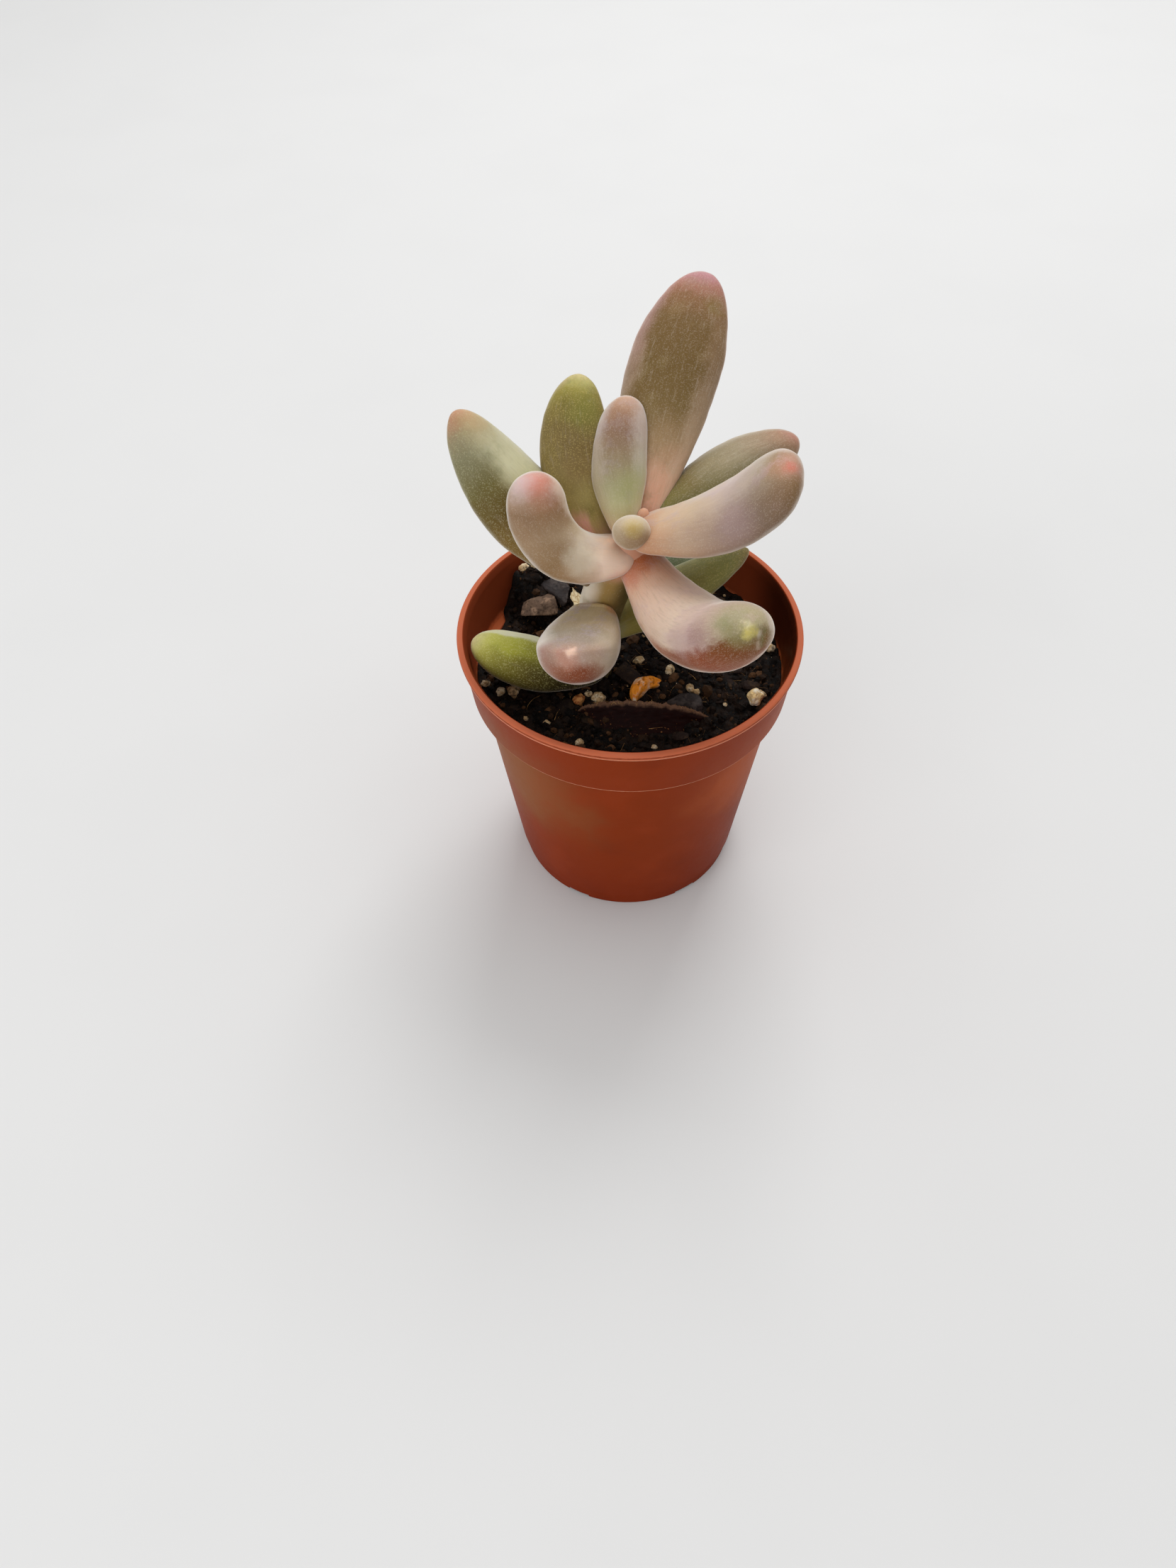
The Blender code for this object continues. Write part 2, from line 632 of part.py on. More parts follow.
def make_pot():
    """Make the pot: turned walls, a flat floor, and a ring of drain holes with their channels."""
    collar_low = POT_HEIGHT - COLLAR_HEIGHT
    shelf = collar_low + WALL
    lip_low = POT_HEIGHT - LIP_HEIGHT
    foot = FOOT_RADIUS - FOOT_STEP
    inner_top = COLLAR_TOP_RADIUS - WALL
    profile = (
        (0.0, 0.0),
        (foot, 0.0),
        (foot + EDGE, FOOT_HEIGHT),
        (foot + 2.0 * EDGE, FOOT_HEIGHT + FOOT_LEDGE),
        (BODY_TOP_RADIUS, collar_low - EDGE),
        (COLLAR_LOW_RADIUS - EDGE, collar_low),
        (COLLAR_LOW_RADIUS, collar_low + EDGE),
        (COLLAR_TOP_RADIUS, lip_low - 0.5 * EDGE),
        (LIP_RADIUS - 0.5 * EDGE, lip_low),
        (LIP_RADIUS, lip_low + EDGE),
        (LIP_RADIUS, POT_HEIGHT - EDGE),
        (LIP_RADIUS - CORNER * EDGE, POT_HEIGHT - CORNER * EDGE),
        (LIP_RADIUS - EDGE, POT_HEIGHT),
        (inner_top + 2.5 * EDGE, POT_HEIGHT),
        (inner_top + 1.5 * EDGE, POT_HEIGHT - EDGE),
        (inner_top, lip_low),
        (COLLAR_LOW_RADIUS - WALL, shelf),
        (BODY_TOP_RADIUS - WALL, shelf),
        (FOOT_RADIUS - WALL, FLOOR),
        (0.0, FLOOR),
    )
    pot = mesh_object("pot", turned(profile, POT_STEPS), material("Terracotta plastic", TERRACOTTA, 0.5))
    apply_boolean(pot, [cutter("drain_holes", drain_holes())], "DIFFERENCE")
    apply_boolean(pot, [cutter("drain_channels", drain_channels())], "DIFFERENCE")
    pot.data.set_sharp_from_angle(angle=math.radians(SHARP_ANGLE))


def make_soil(holders):
    """Make the soil with its grit, and hollow it where the stem, a leaf, bark and stones lie in it."""
    soil = mesh_object("soil", soil_body(), material("Peat soil", PEAT, 0.95))
    places = [(x * MM, y * MM, radius * MM) for x, y, radius in GRAINS]
    draw = random.Random(SEED)
    while len(places) < len(GRAINS) + CRUMB_COUNT:
        angle = draw.uniform(0.0, 2.0 * math.pi)
        reach = CRUMB_REACH * math.sqrt(draw.random())
        x, y = reach * math.cos(angle), reach * math.sin(angle)
        radius = draw.uniform(*CRUMB_RADII)
        if all(math.hypot(x - a, y - b) > radius + r + CRUMB_ROOM for a, b, r in places):
            places.append((x, y, radius))
    grains = [cutter(f"grain_{i}", grain_body(*place)) for i, place in enumerate(places)]
    apply_boolean(soil, grains, "UNION")
    apply_boolean(soil, holders, "DIFFERENCE")


def main():
    """Make every piece of the potted plant."""
    for obj in list(bpy.data.objects):
        bpy.data.objects.remove(obj, do_unlink=True)
    make_pot()
    mesh_object("stem", stem_body(), material("Stem", STEM_GREEN, 0.6))
    for number, leaf in enumerate(LEAVES):
        finish = material(leaf.name.replace("_", " ").capitalize(), leaf.colour, 0.65)
        blade = mesh_object(leaf.name, leaf_body(leaf), finish)
        tools = [cutter("stem_room", stem_body(GAP))]
        tools += [cutter(other.name + "_room", leaf_body(other, GAP)) for other in LEAVES[:number]]
        apply_boolean(blade, tools, "DIFFERENCE")
    scale = mesh_object("dry_scale", scale_body(), material("Dry leaf scale", STRAW, 0.8))
    tools = [cutter("stem_room", stem_body(GAP))]
    tools += [cutter(leaf.name + "_room", leaf_body(leaf, GAP)) for leaf in LEAVES]
    apply_boolean(scale, tools, "DIFFERENCE")
    mesh_object("bark_flake", bark_body(), material("Bark", BARK_BROWN, 0.8))
    for stone in STONES:
        mesh_object(stone.name, stone_body(stone), material(stone.name, stone.colour, 0.85))
    holders = [cutter("stem_room", stem_body(GAP)), cutter("bark_room", bark_body(GAP))]
    holders += [cutter(stone.name + "_room", stone_body(stone, GAP)) for stone in STONES]
    holders += [cutter(leaf.name + "_room", leaf_body(leaf, GAP)) for leaf in LEAVES[-LOW_LEAVES:]]
    make_soil(holders)


main()
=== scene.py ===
"""Looks of a young potted pachyphytum: powdery leaves, damp soil and a moulded nursery pot.

Metres, +Z up, with the origin at the centre of the pot's flat base and the front at -Y.
Lengths are in metres, most of them written as millimetres times MM, and in plain millimetres where that is
said. Angles are in degrees.
"""

import logging
import math
import random
from collections.abc import Callable, Sequence
from dataclasses import dataclass
from enum import Enum

import bmesh
import bpy
from mathutils import Matrix, Vector, noise


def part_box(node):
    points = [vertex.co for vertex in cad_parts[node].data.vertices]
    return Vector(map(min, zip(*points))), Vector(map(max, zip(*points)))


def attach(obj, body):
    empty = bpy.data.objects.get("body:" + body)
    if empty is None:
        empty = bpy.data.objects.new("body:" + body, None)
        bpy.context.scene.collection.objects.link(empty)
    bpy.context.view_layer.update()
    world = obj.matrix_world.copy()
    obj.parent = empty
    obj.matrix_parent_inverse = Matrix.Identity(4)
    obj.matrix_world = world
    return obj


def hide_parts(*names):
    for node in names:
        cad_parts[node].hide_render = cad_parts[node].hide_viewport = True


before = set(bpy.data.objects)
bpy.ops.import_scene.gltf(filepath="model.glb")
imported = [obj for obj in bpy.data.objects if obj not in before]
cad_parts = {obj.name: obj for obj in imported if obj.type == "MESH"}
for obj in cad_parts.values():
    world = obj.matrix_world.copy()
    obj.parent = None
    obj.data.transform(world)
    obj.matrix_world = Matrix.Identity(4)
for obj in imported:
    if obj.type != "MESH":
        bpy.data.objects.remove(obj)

MM = 0.001
ROOT = "root"
SEED = 5
LOG = logging.getLogger("potted_pachyphytum")

Colour = tuple[float, float, float, float]
Stops = tuple[tuple[float, str], ...]
Point = tuple[float, float, float]
Socket = bpy.types.NodeSocket
Tone = str | Colour | Socket
Inputs = dict[str | int, object]
Material = bpy.types.Material


def linear(hex_colour: str) -> Colour:
    """Turn an sRGB hex colour into linear light.

    Args:
        hex_colour: six hex digits, such as "9A4A2A".

    Returns:
        Red, green, blue and an alpha of one.
    """
    channels = [int(hex_colour[i:i + 2], 16) / 255.0 for i in (0, 2, 4)]
    red, green, blue = (c / 12.92 if c <= 0.04045 else ((c + 0.055) / 1.055) ** 2.4 for c in channels)
    return red, green, blue, 1.0


def eased(value: float) -> float:
    """Ease from 0 to 1 as value goes from 0 to 1."""
    value = min(1.0, max(0.0, value))
    return value * value * (3.0 - 2.0 * value)


def feed(tree: bpy.types.NodeTree, node: bpy.types.Node, inputs: Inputs) -> None:
    """Set or link a node's inputs.

    Args:
        tree: the tree that the node is in.
        node: the node.
        inputs: for each input's name or number, the output that feeds it, a list of them, or a value.
    """
    for key, value in inputs.items():
        for source in value if isinstance(value, list) else [value]:
            if isinstance(source, Socket):
                tree.links.new(source, node.inputs[key])
            else:
                node.inputs[key].default_value = source


def add_node(tree: bpy.types.NodeTree, kind: str, inputs: Inputs | None = None, out: int | str = 0,
             stops: Stops = (), **settings: object) -> Socket:
    """Add a node with its settings and links.

    Args:
        tree: the tree that it goes into.
        kind: Blender's name for the node.
        inputs: its inputs, as for feed.
        out: the name or number of the output that is wanted.
        stops: for a colour ramp, its places and hex colours.
        settings: the node's own properties.

    Returns:
        That output of the new node.
    """
    node = tree.nodes.new(kind)
    for key, value in settings.items():
        setattr(node, key, value)
    feed(tree, node, inputs or {})
    for number, (place, colour) in enumerate(stops):
        ramp = node.color_ramp.elements
        stop = ramp[number] if number < len(ramp) else ramp.new(place)
        stop.position = place
        stop.color = linear(colour)
    return node.outputs[out]


def lay_over(tree: bpy.types.NodeTree, under: Tone, colour: Tone, amount: Socket, low: float, high: float,
             share: float = 1.0) -> Socket:
    """Lay a colour over another, from none of it where amount is low to its full share where it is high.

    Args:
        tree: the tree that it is for.
        under: the colour below, as hex digits, linear light or an output.
        colour: the colour on top, in the same way.
        amount: what decides where it lies.
        low: the amount at which it starts.
        high: the amount at which it is full.
        share: how much of it covers the colour below, at the most.

    Returns:
        The output with both colours.
    """
    under, colour = (linear(tone) if isinstance(tone, str) else tone for tone in (under, colour))
    cover = add_node(tree, "ShaderNodeMapRange", {"Value": amount, "From Min": low, "From Max": high,
                                                 "To Max": share}, interpolation_type="SMOOTHSTEP")
    return add_node(tree, "ShaderNodeMix", {0: cover, 6: under, 7: colour}, 2, data_type="RGBA")


class Coat:
    """A material in the making, with where each of its points lies and noise of several sizes."""

    def __init__(self, name: str, *sizes: tuple[float, float, float]) -> None:
        """Start a material.

        Args:
            name: what the real material is called.
            sizes: for each noise, its size, detail and roughness.
        """
        self.finish = bpy.data.materials.new(name)
        self.finish.use_nodes = True
        self.tree = self.finish.node_tree
        self.where = self.add("ShaderNodeTexCoord", out="Object")
        self.noises = [self.add("ShaderNodeTexNoise", {"Vector": self.where, "Scale": 1.0 / size,
                                                       "Detail": detail, "Roughness": rough})
                       for size, detail, rough in sizes]

    def add(self, kind: str, inputs: Inputs | None = None, out: int | str = 0, **settings: object) -> Socket:
        """Add a node to the material, as add_node does."""
        return add_node(self.tree, kind, inputs, out, **settings)

    def paint(self, under: Tone, *layers: tuple) -> Tone:
        """Lay colours over one another.

        Args:
            under: the lowest colour.
            layers: for each colour above it, the rest of what lay_over takes.

        Returns:
            The output with all of them, or the lowest colour if there is no other.
        """
        for layer in layers:
            under = lay_over(self.tree, under, *layer)
        return under

    def done(self, inputs: Inputs, relief: Socket | None = None, strength: float = 0.0,
             depth: float = 0.0) -> Material:
        """Give the shader what it needs.

        Args:
            inputs: the shader's inputs, as for feed.
            relief: the fine relief's height, if there is one.
            strength: how much of the relief shows.
            depth: how deep it is.

        Returns:
            The finished material.
        """
        if relief is not None:
            inputs["Normal"] = self.add("ShaderNodeBump", {"Height": relief, "Strength": strength,
                                                           "Distance": depth})
        feed(self.tree, self.tree.nodes["Principled BSDF"], inputs)
        return self.finish


@dataclass(frozen=True)
class MouldedPolypropylene:
    """Terracotta polypropylene, injection moulded: semi-matt, with a thinner lip, painted paler as painted
    light where light passes through it.

    The melt froze against a finely eroded steel mould, so the skin is smooth with a soft, broad gleam.
    """

    body: str = "85310C"
    foot: str = "802B0A"
    collar: str = "88310A"
    # the lip's colour is painted paler as painted light
    lip: str = "C46A4A"
    seam: str = "7E3216"
    # the pale lines of flash are moulded flash, and partly a painted highlight
    flash_highlight: str = "F0B090"
    # the soil stain inside the collar, darkened as painted shade, and its most shaded colour
    soiled_shaded: str = "7E3920"
    shaded: str = "241008"
    # the bare shelf's colour is painted paler as painted light
    bare_lit_shelf: str = "C8683F"
    # a painted sheen on the body's left side and a painted reflection on its right side
    olive_sheen: str = "8E5C34"
    warm_reflection: str = "C4602C"
    bright_cloud: str = "9E3E1A"
    dark_cloud: str = "64200C"
    clouding: float = 9.0 * MM
    specks: float = 1.1 * MM
    grain: float = 0.35 * MM     # a real moulded grain is finer, and this is what a render can show
    foot_fade: float = 24.0 * MM                              # how high the foot's colour reaches
    # over this span to the right the stained inner wall darkens as painted shade
    shade_span: tuple[float, float] = (20.0 * MM, 25.0 * MM)  # from where to where the soiled wall darkens
    zone_drift: float = 16.0 * MM                             # how far clouds push a zone's edge
    zone_span: tuple[float, float] = (31.0 * MM, 9.0 * MM)    # a zone's end, and where it is full

    @staticmethod
    def ring_line(coat: Coat, height: Socket, specks: Socket, line: tuple[str, float, float, float]) -> tuple:
        """Make a broken line round the pot.

        Args:
            coat: the material.
            height: the height of each point.
            specks: the noise that breaks the line.
            line: its colour, where it runs, how wide it is and how much it covers.

        Returns:
            The line as a layer of paint.
        """
        tone, level, reach, share = line
        off = coat.add("ShaderNodeMath", {0: height, 1: level}, operation="SUBTRACT")
        off = coat.add("ShaderNodeMath", {0: off}, operation="ABSOLUTE")
        off = coat.add("ShaderNodeMath", {0: specks, 1: reach, 2: off}, operation="MULTIPLY_ADD")
        return tone, off, 1.2 * reach, 0.6 * reach, share

    def material(self, pot: "NurseryPot") -> Material:
        """Make the material.

        Args:
            pot: the pot, whose heights the colours follow.

        Returns:
            The finished material.
        """
        coat = Coat("Moulded polypropylene, terracotta", (self.clouding, 4.0, 0.5), (self.specks, 5.0, 0.7),
                    (self.grain, 2.0, 0.5))
        clouds, specks, grain = coat.noises
        right, _, height = coat.add("ShaderNodeSeparateXYZ", {0: coat.where}).node.outputs
        flat = coat.add("ShaderNodeVectorMath", {0: coat.where, 1: (1.0, 1.0, 0.0)}, operation="MULTIPLY")
        radius = coat.add("ShaderNodeVectorMath", {0: flat}, "Value", operation="LENGTH")
        # the melt flows in clouds, which gives the eye a slow change of depth, and a pale line runs along the
        # collar's foot: moulded flash, and partly a painted highlight
        flash_highlight = (self.flash_highlight, pot.step + 0.1 * MM, 0.2 * MM, 0.8)
        colour = coat.paint(self.foot, (self.body, height, 0.0, self.foot_fade),
                            (self.collar, height, pot.step - MM, pot.step + MM),
                            (self.bright_cloud, clouds, 0.5, 0.75, 0.25),
                            (self.dark_cloud, clouds, 0.48, 0.25, 0.25),
                            self.ring_line(coat, height, specks, flash_highlight))
        # soil has stained the inside of the collar, below the lip, and the stain is darkened as painted
        # shade, most towards the right
        inner = coat.add("ShaderNodeMath", {0: height, 1: -pot.collar_flare, 2: radius},
                         operation="MULTIPLY_ADD")
        inner = coat.add("ShaderNodeMath", {0: pot.wall_middle - pot.collar_flare * pot.step, 1: inner},
                         operation="SUBTRACT")
        stained = coat.add("ShaderNodeMath", {0: specks, 1: 0.6 * MM, 2: inner}, operation="MULTIPLY_ADD")
        soil = coat.paint(self.soiled_shaded, (self.shaded, right, *self.shade_span))
        soiled_shaded = coat.paint(colour, (soil, stained, -0.1 * MM, 0.5 * MM, 0.9))
        # the shelf at the collar's foot is bare of the soil stain, and its colour, paler than the melt's, is
        # painted light where the shelf is lit
        bare_lit_shelf = coat.add("ShaderNodeMath", {0: specks, 1: 0.8 * MM, 2: height}, operation="MULTIPLY_ADD")
        inside = coat.paint(self.bare_lit_shelf, (soiled_shaded, bare_lit_shelf, pot.shelf + 0.5 * MM, pot.shelf + 1.4 * MM))
        inside = coat.paint(colour, (inside, inner, -0.1 * MM, 0.1 * MM))
        inside = coat.paint(colour, (inside, height, pot.step + 0.4 * MM, pot.step + 0.6 * MM))
        # the lip is thin and light passes through it, so its colour, up to its inner edge, is painted paler
        # as painted light; a thin dark line is painted round its outer side, and a pale line along its lower
        # edge is moulded flash and partly a painted highlight
        lines = ((self.seam, pot.height - 0.42 * MM, 0.3 * MM, 0.85),
                 (self.flash_highlight, pot.under_lip + 0.1 * MM, 0.24 * MM, 0.8))
        rim = coat.paint(inside, (self.lip, height, pot.under_lip - 0.1 * MM, pot.under_lip + 0.25 * MM),
                         *(self.ring_line(coat, height, specks, line) for line in lines))
        colour = coat.paint(inside, (rim, radius, pot.lip_inner - 0.1 * MM, pot.lip_inner + 0.05 * MM))
        # a painted olive sheen lies on the body's left side and a painted warm reflection on its right side,
        # each a little less on the collar
        below = coat.paint("DCDCDC", ("FFFFFF", height, pot.step, pot.step - MM))
        for place, tone, share in ((pot.olive_sheen_at, self.olive_sheen, 0.65), (pot.warm_reflection_at, self.warm_reflection, 0.5)):
            away = coat.add("ShaderNodeVectorMath", {0: coat.where, 1: place}, "Value", operation="DISTANCE")
            away = coat.add("ShaderNodeMath", {0: clouds, 1: self.zone_drift, 2: away},
                            operation="MULTIPLY_ADD")
            near = coat.paint("000000", (below, away, *self.zone_span))
            colour = coat.paint(colour, (tone, near, 0.0, 1.0, share))
        rough = coat.add("ShaderNodeMapRange", {"Value": specks, "To Min": 0.36, "To Max": 0.52})
        return coat.done({"Base Color": colour, "Roughness": rough, "IOR": 1.49, "Specular IOR Level": 0.04,
                          "Subsurface Weight": 0.1, "Subsurface Radius": (1.0, 0.25, 0.08),
                          "Subsurface Scale": 1.2 * MM}, grain, 0.12, 0.05 * MM)


@dataclass(frozen=True)
class DampPeat:
    """Damp peat: almost black, fibrous and crumbly, with a few brown bits and a faint wet gleam.

    Rotted moss crumbled into grains that soak up water, so light is lost between them.
    """

    name: str = "Damp peat"
    deep: str = "070403"
    middle: str = "21150E"
    dry: str = "43301F"
    brown: str = "6C4A2E"
    lumps: float = 2.2 * MM
    bits: float = 0.4 * MM

    def material(self) -> Material:
        """Make the material.

        Returns:
            The finished material.
        """
        coat = Coat(self.name, (self.lumps, 6.0, 0.65), (self.bits, 3.0, 0.7))
        lumps, bits = coat.noises
        # each crumb has a shade of its own, and the driest are brown
        crumb = coat.add("ShaderNodeAttribute", out="Fac", attribute_name="shade")
        colour = coat.paint(self.deep, (self.middle, lumps, 0.42, 0.6), (self.dry, bits, 0.55, 0.74, 0.75),
                            (self.brown, crumb, 0.78, 1.0, 0.75))
        rough = coat.add("ShaderNodeMapRange", {"Value": bits, "From Min": 0.35, "From Max": 0.6,
                                                "To Min": 0.5, "To Max": 0.95})
        return coat.done({"Base Color": colour, "Roughness": rough, "Specular IOR Level": 0.17},
                         bits, 0.8, 0.25 * MM)


class Flecks(Enum):
    """How fine pale flecks lie on a leaf: their colour, greatest share and size."""

    FINE = ("DCCFBC", 0.18, 0.20 * MM)
    GOLDEN = ("C9B570", 0.42, 0.20 * MM)
    SILVER = ("CFCCA4", 0.28, 0.20 * MM)
    LIME = ("DAD690", 0.42, 0.22 * MM)


@dataclass(frozen=True)
class Patch:
    """A stain, a blush or a rubbed place on a leaf."""

    place: float       # along the leaf, 0 at the root and 1 at the tip
    around: float      # 90 on the upper face and 270 underneath
    radius: float      # in millimetres
    colour: str
    strength: float
    soft: float = 1.0  # how gently it fades out


@dataclass(frozen=True)
class Flank:
    """The tint of one side of a leaf from root to tip, partly painted light and painted shade, and how far up
    the face it reaches.
    """

    colours: Stops
    share: float
    start: float = 0.15    # share of the way from the middle to the side
    full: float = 0.9


@dataclass(frozen=True)
class LeafSkin:
    """A succulent leaf's skin under a powdery bloom, which is rubbed thin on the face and kept at the rim.

    The leaf sweats a wax that dries as powder. It hides the green below and gives it a soft, dusty look.
    Its upper and lower colours and the tints of its sides hold painted light and painted shade as well as
    its own colours, and the bloom's colour is laid at the rim as a painted sheen.
    """

    # the colours of the upper face and of the underside from root to tip, each partly painted light and
    # painted shade; the underside is darker as painted shade
    upper: Stops
    lower: Stops
    # the tints of the two sides are partly painted light and painted shade
    near: Flank | None = None      # the side at 0 degrees
    far: Flank | None = None       # the side at 180 degrees
    turnover: tuple[float, float] = (-0.6, 0.4)
    # the bloom's colour is laid where the skin turns away, as a painted sheen
    bloom: str = "E6DFD6"
    bloom_sheen_share: float = 0.5
    rim: float = 0.5               # how far the skin turns away before the bloom shows
    mottle: str = "B4A6A6"
    mottle_share: float = 0.25
    streaks: float = 0.16
    flecks: Flecks = Flecks.FINE
    patches: tuple[Patch, ...] = ()
    slow: float = 3.6 * MM
    ragged: float = 0.8 * MM
    straying: tuple[float, float] = (2.6 * MM, 1.3 * MM)     # how far a patch's edge strays in each
    cell_files: tuple[float, float] = (0.7, 2.6)     # two streaks' breadth and one's length, in millimetres
    cell_shade: str = "5A4630"
    cell_light: str = "EADFD0"
    powder: str = "F6EADB"

    def material(self, leaf: "FatLeaf") -> Material:
        """Make the skin of one leaf.

        Args:
            leaf: the leaf, which says where its patches lie.

        Returns:
            The finished material.
        """
        fleck, fleck_share, fleck_size = self.flecks.value
        coat = Coat("Bloomed leaf skin, " + leaf.name.replace("_", " "), (self.slow, 3.0, 0.5),
                    (self.ragged, 4.0, 0.7), (fleck_size, 2.0, 0.6))
        slow, ragged, fine = coat.noises
        along, upper, aside = (coat.add("ShaderNodeAttribute", out="Fac", attribute_name=name)
                               for name in ("along", "upper", "aside"))
        drift, fray = (coat.add("ShaderNodeMath", {0: source, 1: 0.5}, operation="SUBTRACT")
                       for source in (slow, ragged))
        wander = coat.add("ShaderNodeMath", {0: fray, 1: 0.45, 2: drift}, operation="MULTIPLY_ADD")
        place, turn = (coat.add("ShaderNodeMath", {0: wander, 1: reach, 2: mark}, operation="MULTIPLY_ADD")
                       for reach, mark in ((0.1, along), (0.6, upper)))
        above, below = (coat.add("ShaderNodeValToRGB", {0: place}, stops=stops)
                        for stops in (self.upper, self.lower))
        above = coat.paint(above, (self.mottle, wander, 0.0, 0.17, self.mottle_share))
        colour = coat.paint(below, (above, turn, *self.turnover))
        # each side's tint, partly painted light and painted shade, is laid over the face
        for flank, sign in ((self.near, 1.0), (self.far, -1.0)):
            if flank is None:
                continue
            side = coat.add("ShaderNodeMath", {0: aside, 1: sign}, operation="MULTIPLY")
            side = coat.add("ShaderNodeMath", {0: wander, 1: 0.4, 2: side}, operation="MULTIPLY_ADD")
            tint = coat.add("ShaderNodeValToRGB", {0: place}, stops=flank.colours)
            colour = coat.paint(colour, (tint, side, flank.start, flank.full, flank.share))
        # cells lie in files along the leaf, which gives faint lengthwise streaks. Real files are finer, and
        # these are as fine as a render can show
        broad, long = self.cell_files
        files = coat.add("ShaderNodeCombineXYZ", {0: aside, 1: upper, 2: along})
        counts = (leaf.width / broad, leaf.thickness / broad, leaf.length / long)
        files = coat.add("ShaderNodeVectorMath", {0: files, 1: counts}, operation="MULTIPLY")
        files = coat.add("ShaderNodeTexNoise", {"Vector": files, "Scale": 1.0, "Detail": 3.0,
                                                "Roughness": 0.6})
        colour = coat.paint(colour, (self.cell_shade, files, 0.5, 0.32, self.streaks),
                            (self.cell_light, files, 0.54, 0.72, self.streaks))
        strayed = coat.where
        for source, reach in zip((slow, ragged), self.straying):
            shift = coat.add("ShaderNodeVectorMath", {0: source.node.outputs["Color"], 1: (0.5, 0.5, 0.5)},
                             operation="SUBTRACT")
            strayed = coat.add("ShaderNodeVectorMath", {0: shift, 1: (reach,) * 3, 2: strayed},
                               operation="MULTIPLY_ADD")
        for patch in self.patches:
            centre = leaf.surface(patch.place, math.radians(patch.around))
            away = coat.add("ShaderNodeVectorMath", {0: strayed, 1: centre}, "Value", operation="DISTANCE")
            colour = coat.paint(colour, (patch.colour, away, (1.0 + 0.3 * patch.soft) * patch.radius * MM,
                                         (1.0 - 0.75 * patch.soft) * patch.radius * MM, patch.strength))
        # painted sheen: the bloom's colour is laid where the skin turns away from the view, standing in for
        # the light that its powder scatters there, which gives each leaf its pale rim
        graze = coat.add("ShaderNodeLayerWeight", {"Blend": 0.5}, "Facing")
        graze = coat.add("ShaderNodeMath", {0: wander, 1: 0.2, 2: graze}, operation="MULTIPLY_ADD")
        colour = coat.paint(colour, (fleck, fine, 0.5, 0.68, fleck_share),
                            (self.bloom, graze, self.rim, 0.93, self.bloom_sheen_share))
        rough = coat.add("ShaderNodeMapRange", {"Value": slow, "From Min": 0.3, "From Max": 0.7,
                                                "To Min": 0.48, "To Max": 0.64})
        relief = coat.add("ShaderNodeMath", {0: files, 1: 0.8, 2: fine}, operation="MULTIPLY_ADD")
        # watery flesh lets a little light through, and the powder catches it at the edge
        return coat.done({"Base Color": colour, "Roughness": rough, "IOR": 1.42, "Specular IOR Level": 0.2,
                          "Subsurface Weight": 0.3, "Subsurface Radius": (1.0, 0.7, 0.4),
                          "Subsurface Scale": 2.2 * MM, "Sheen Weight": 0.4, "Sheen Roughness": 0.3,
                          "Sheen Tint": linear(self.powder)}, relief, 0.2, 0.08 * MM)


@dataclass(frozen=True)
class StemSkin:
    """A young green stem: smooth, with painted light on its left side and painted shade, olive, on its right
    side.

    Its skin stretched as it grew and bears a thin bloom, so it looks smooth, pale and slightly clouded.
    """

    lit: str = "E6DAC8"
    middle: str = "A3844A"
    shaded: str = "67572C"
    clouded: str = "9A8A5C"
    blushed: str = "D29A7C"
    fleck: str = "D8CDB4"
    clouds: float = 2.5 * MM
    fine: float = 0.3 * MM
    lean: float = 0.2            # how fast its middle moves right as it rises
    middle_span: tuple[float, float] = (-18.6 * MM, -15.6 * MM)    # across the stem
    shaded_span: tuple[float, float] = (-15.4 * MM, -12.2 * MM)
    blush_span: tuple[float, float] = (63.0 * MM, 65.5 * MM)       # up the stem

    def material(self) -> Material:
        """Make the material.

        Returns:
            The finished material.
        """
        coat = Coat("Young stem skin", (self.clouds, 4.0, 0.5), (self.fine, 2.0, 0.5))
        slow, fine = coat.noises
        right, _, height = coat.add("ShaderNodeSeparateXYZ", {0: coat.where}).node.outputs
        # across the stem, the lit colour on the left and the shaded colour on the right are painted light and
        # painted shade
        across = coat.add("ShaderNodeMath", {0: slow, 1: 1.2 * MM, 2: right}, operation="MULTIPLY_ADD")
        across = coat.add("ShaderNodeMath", {0: height, 1: -self.lean, 2: across}, operation="MULTIPLY_ADD")
        # where the youngest leaves join, the stem takes on their blush
        colour = coat.paint(self.lit, (self.middle, across, *self.middle_span),
                            (self.shaded, across, *self.shaded_span), (self.clouded, slow, 0.5, 0.7, 0.3),
                            (self.blushed, height, *self.blush_span), (self.fleck, fine, 0.58, 0.75, 0.2))
        return coat.done({"Base Color": colour, "Roughness": 0.5, "Subsurface Weight": 0.12,
                          "Subsurface Scale": 1.2 * MM}, fine, 0.15, 0.08 * MM)


@dataclass(frozen=True)
class WitheredLeaf:
    """A dried leaf base: thin, straw coloured and papery, with darker creases.

    The flesh dried up and left its veins and skin, which crumpled. It is matt, and lightest between creases.
    """

    paper: str = "FAE8C0"
    crease: str = "C29C60"
    fibre: str = "F1E3BD"
    folds: float = 0.9 * MM
    fibres: float = 0.35 * MM

    def material(self) -> Material:
        """Make the material.

        Returns:
            The finished material.
        """
        coat = Coat("Withered leaf, papery", (self.fibres, 4.0, 0.5))
        folds = coat.add("ShaderNodeTexVoronoi", {"Vector": coat.where, "Scale": 1.0 / self.folds},
                         "Distance", feature="DISTANCE_TO_EDGE")
        colour = coat.paint(self.paper, (self.crease, folds, 0.16, 0.0, 0.85),
                            (self.fibre, coat.noises[0], 0.5, 0.72, 0.6))
        return coat.done({"Base Color": colour, "Roughness": 0.78}, folds, 0.6, 0.15 * MM)


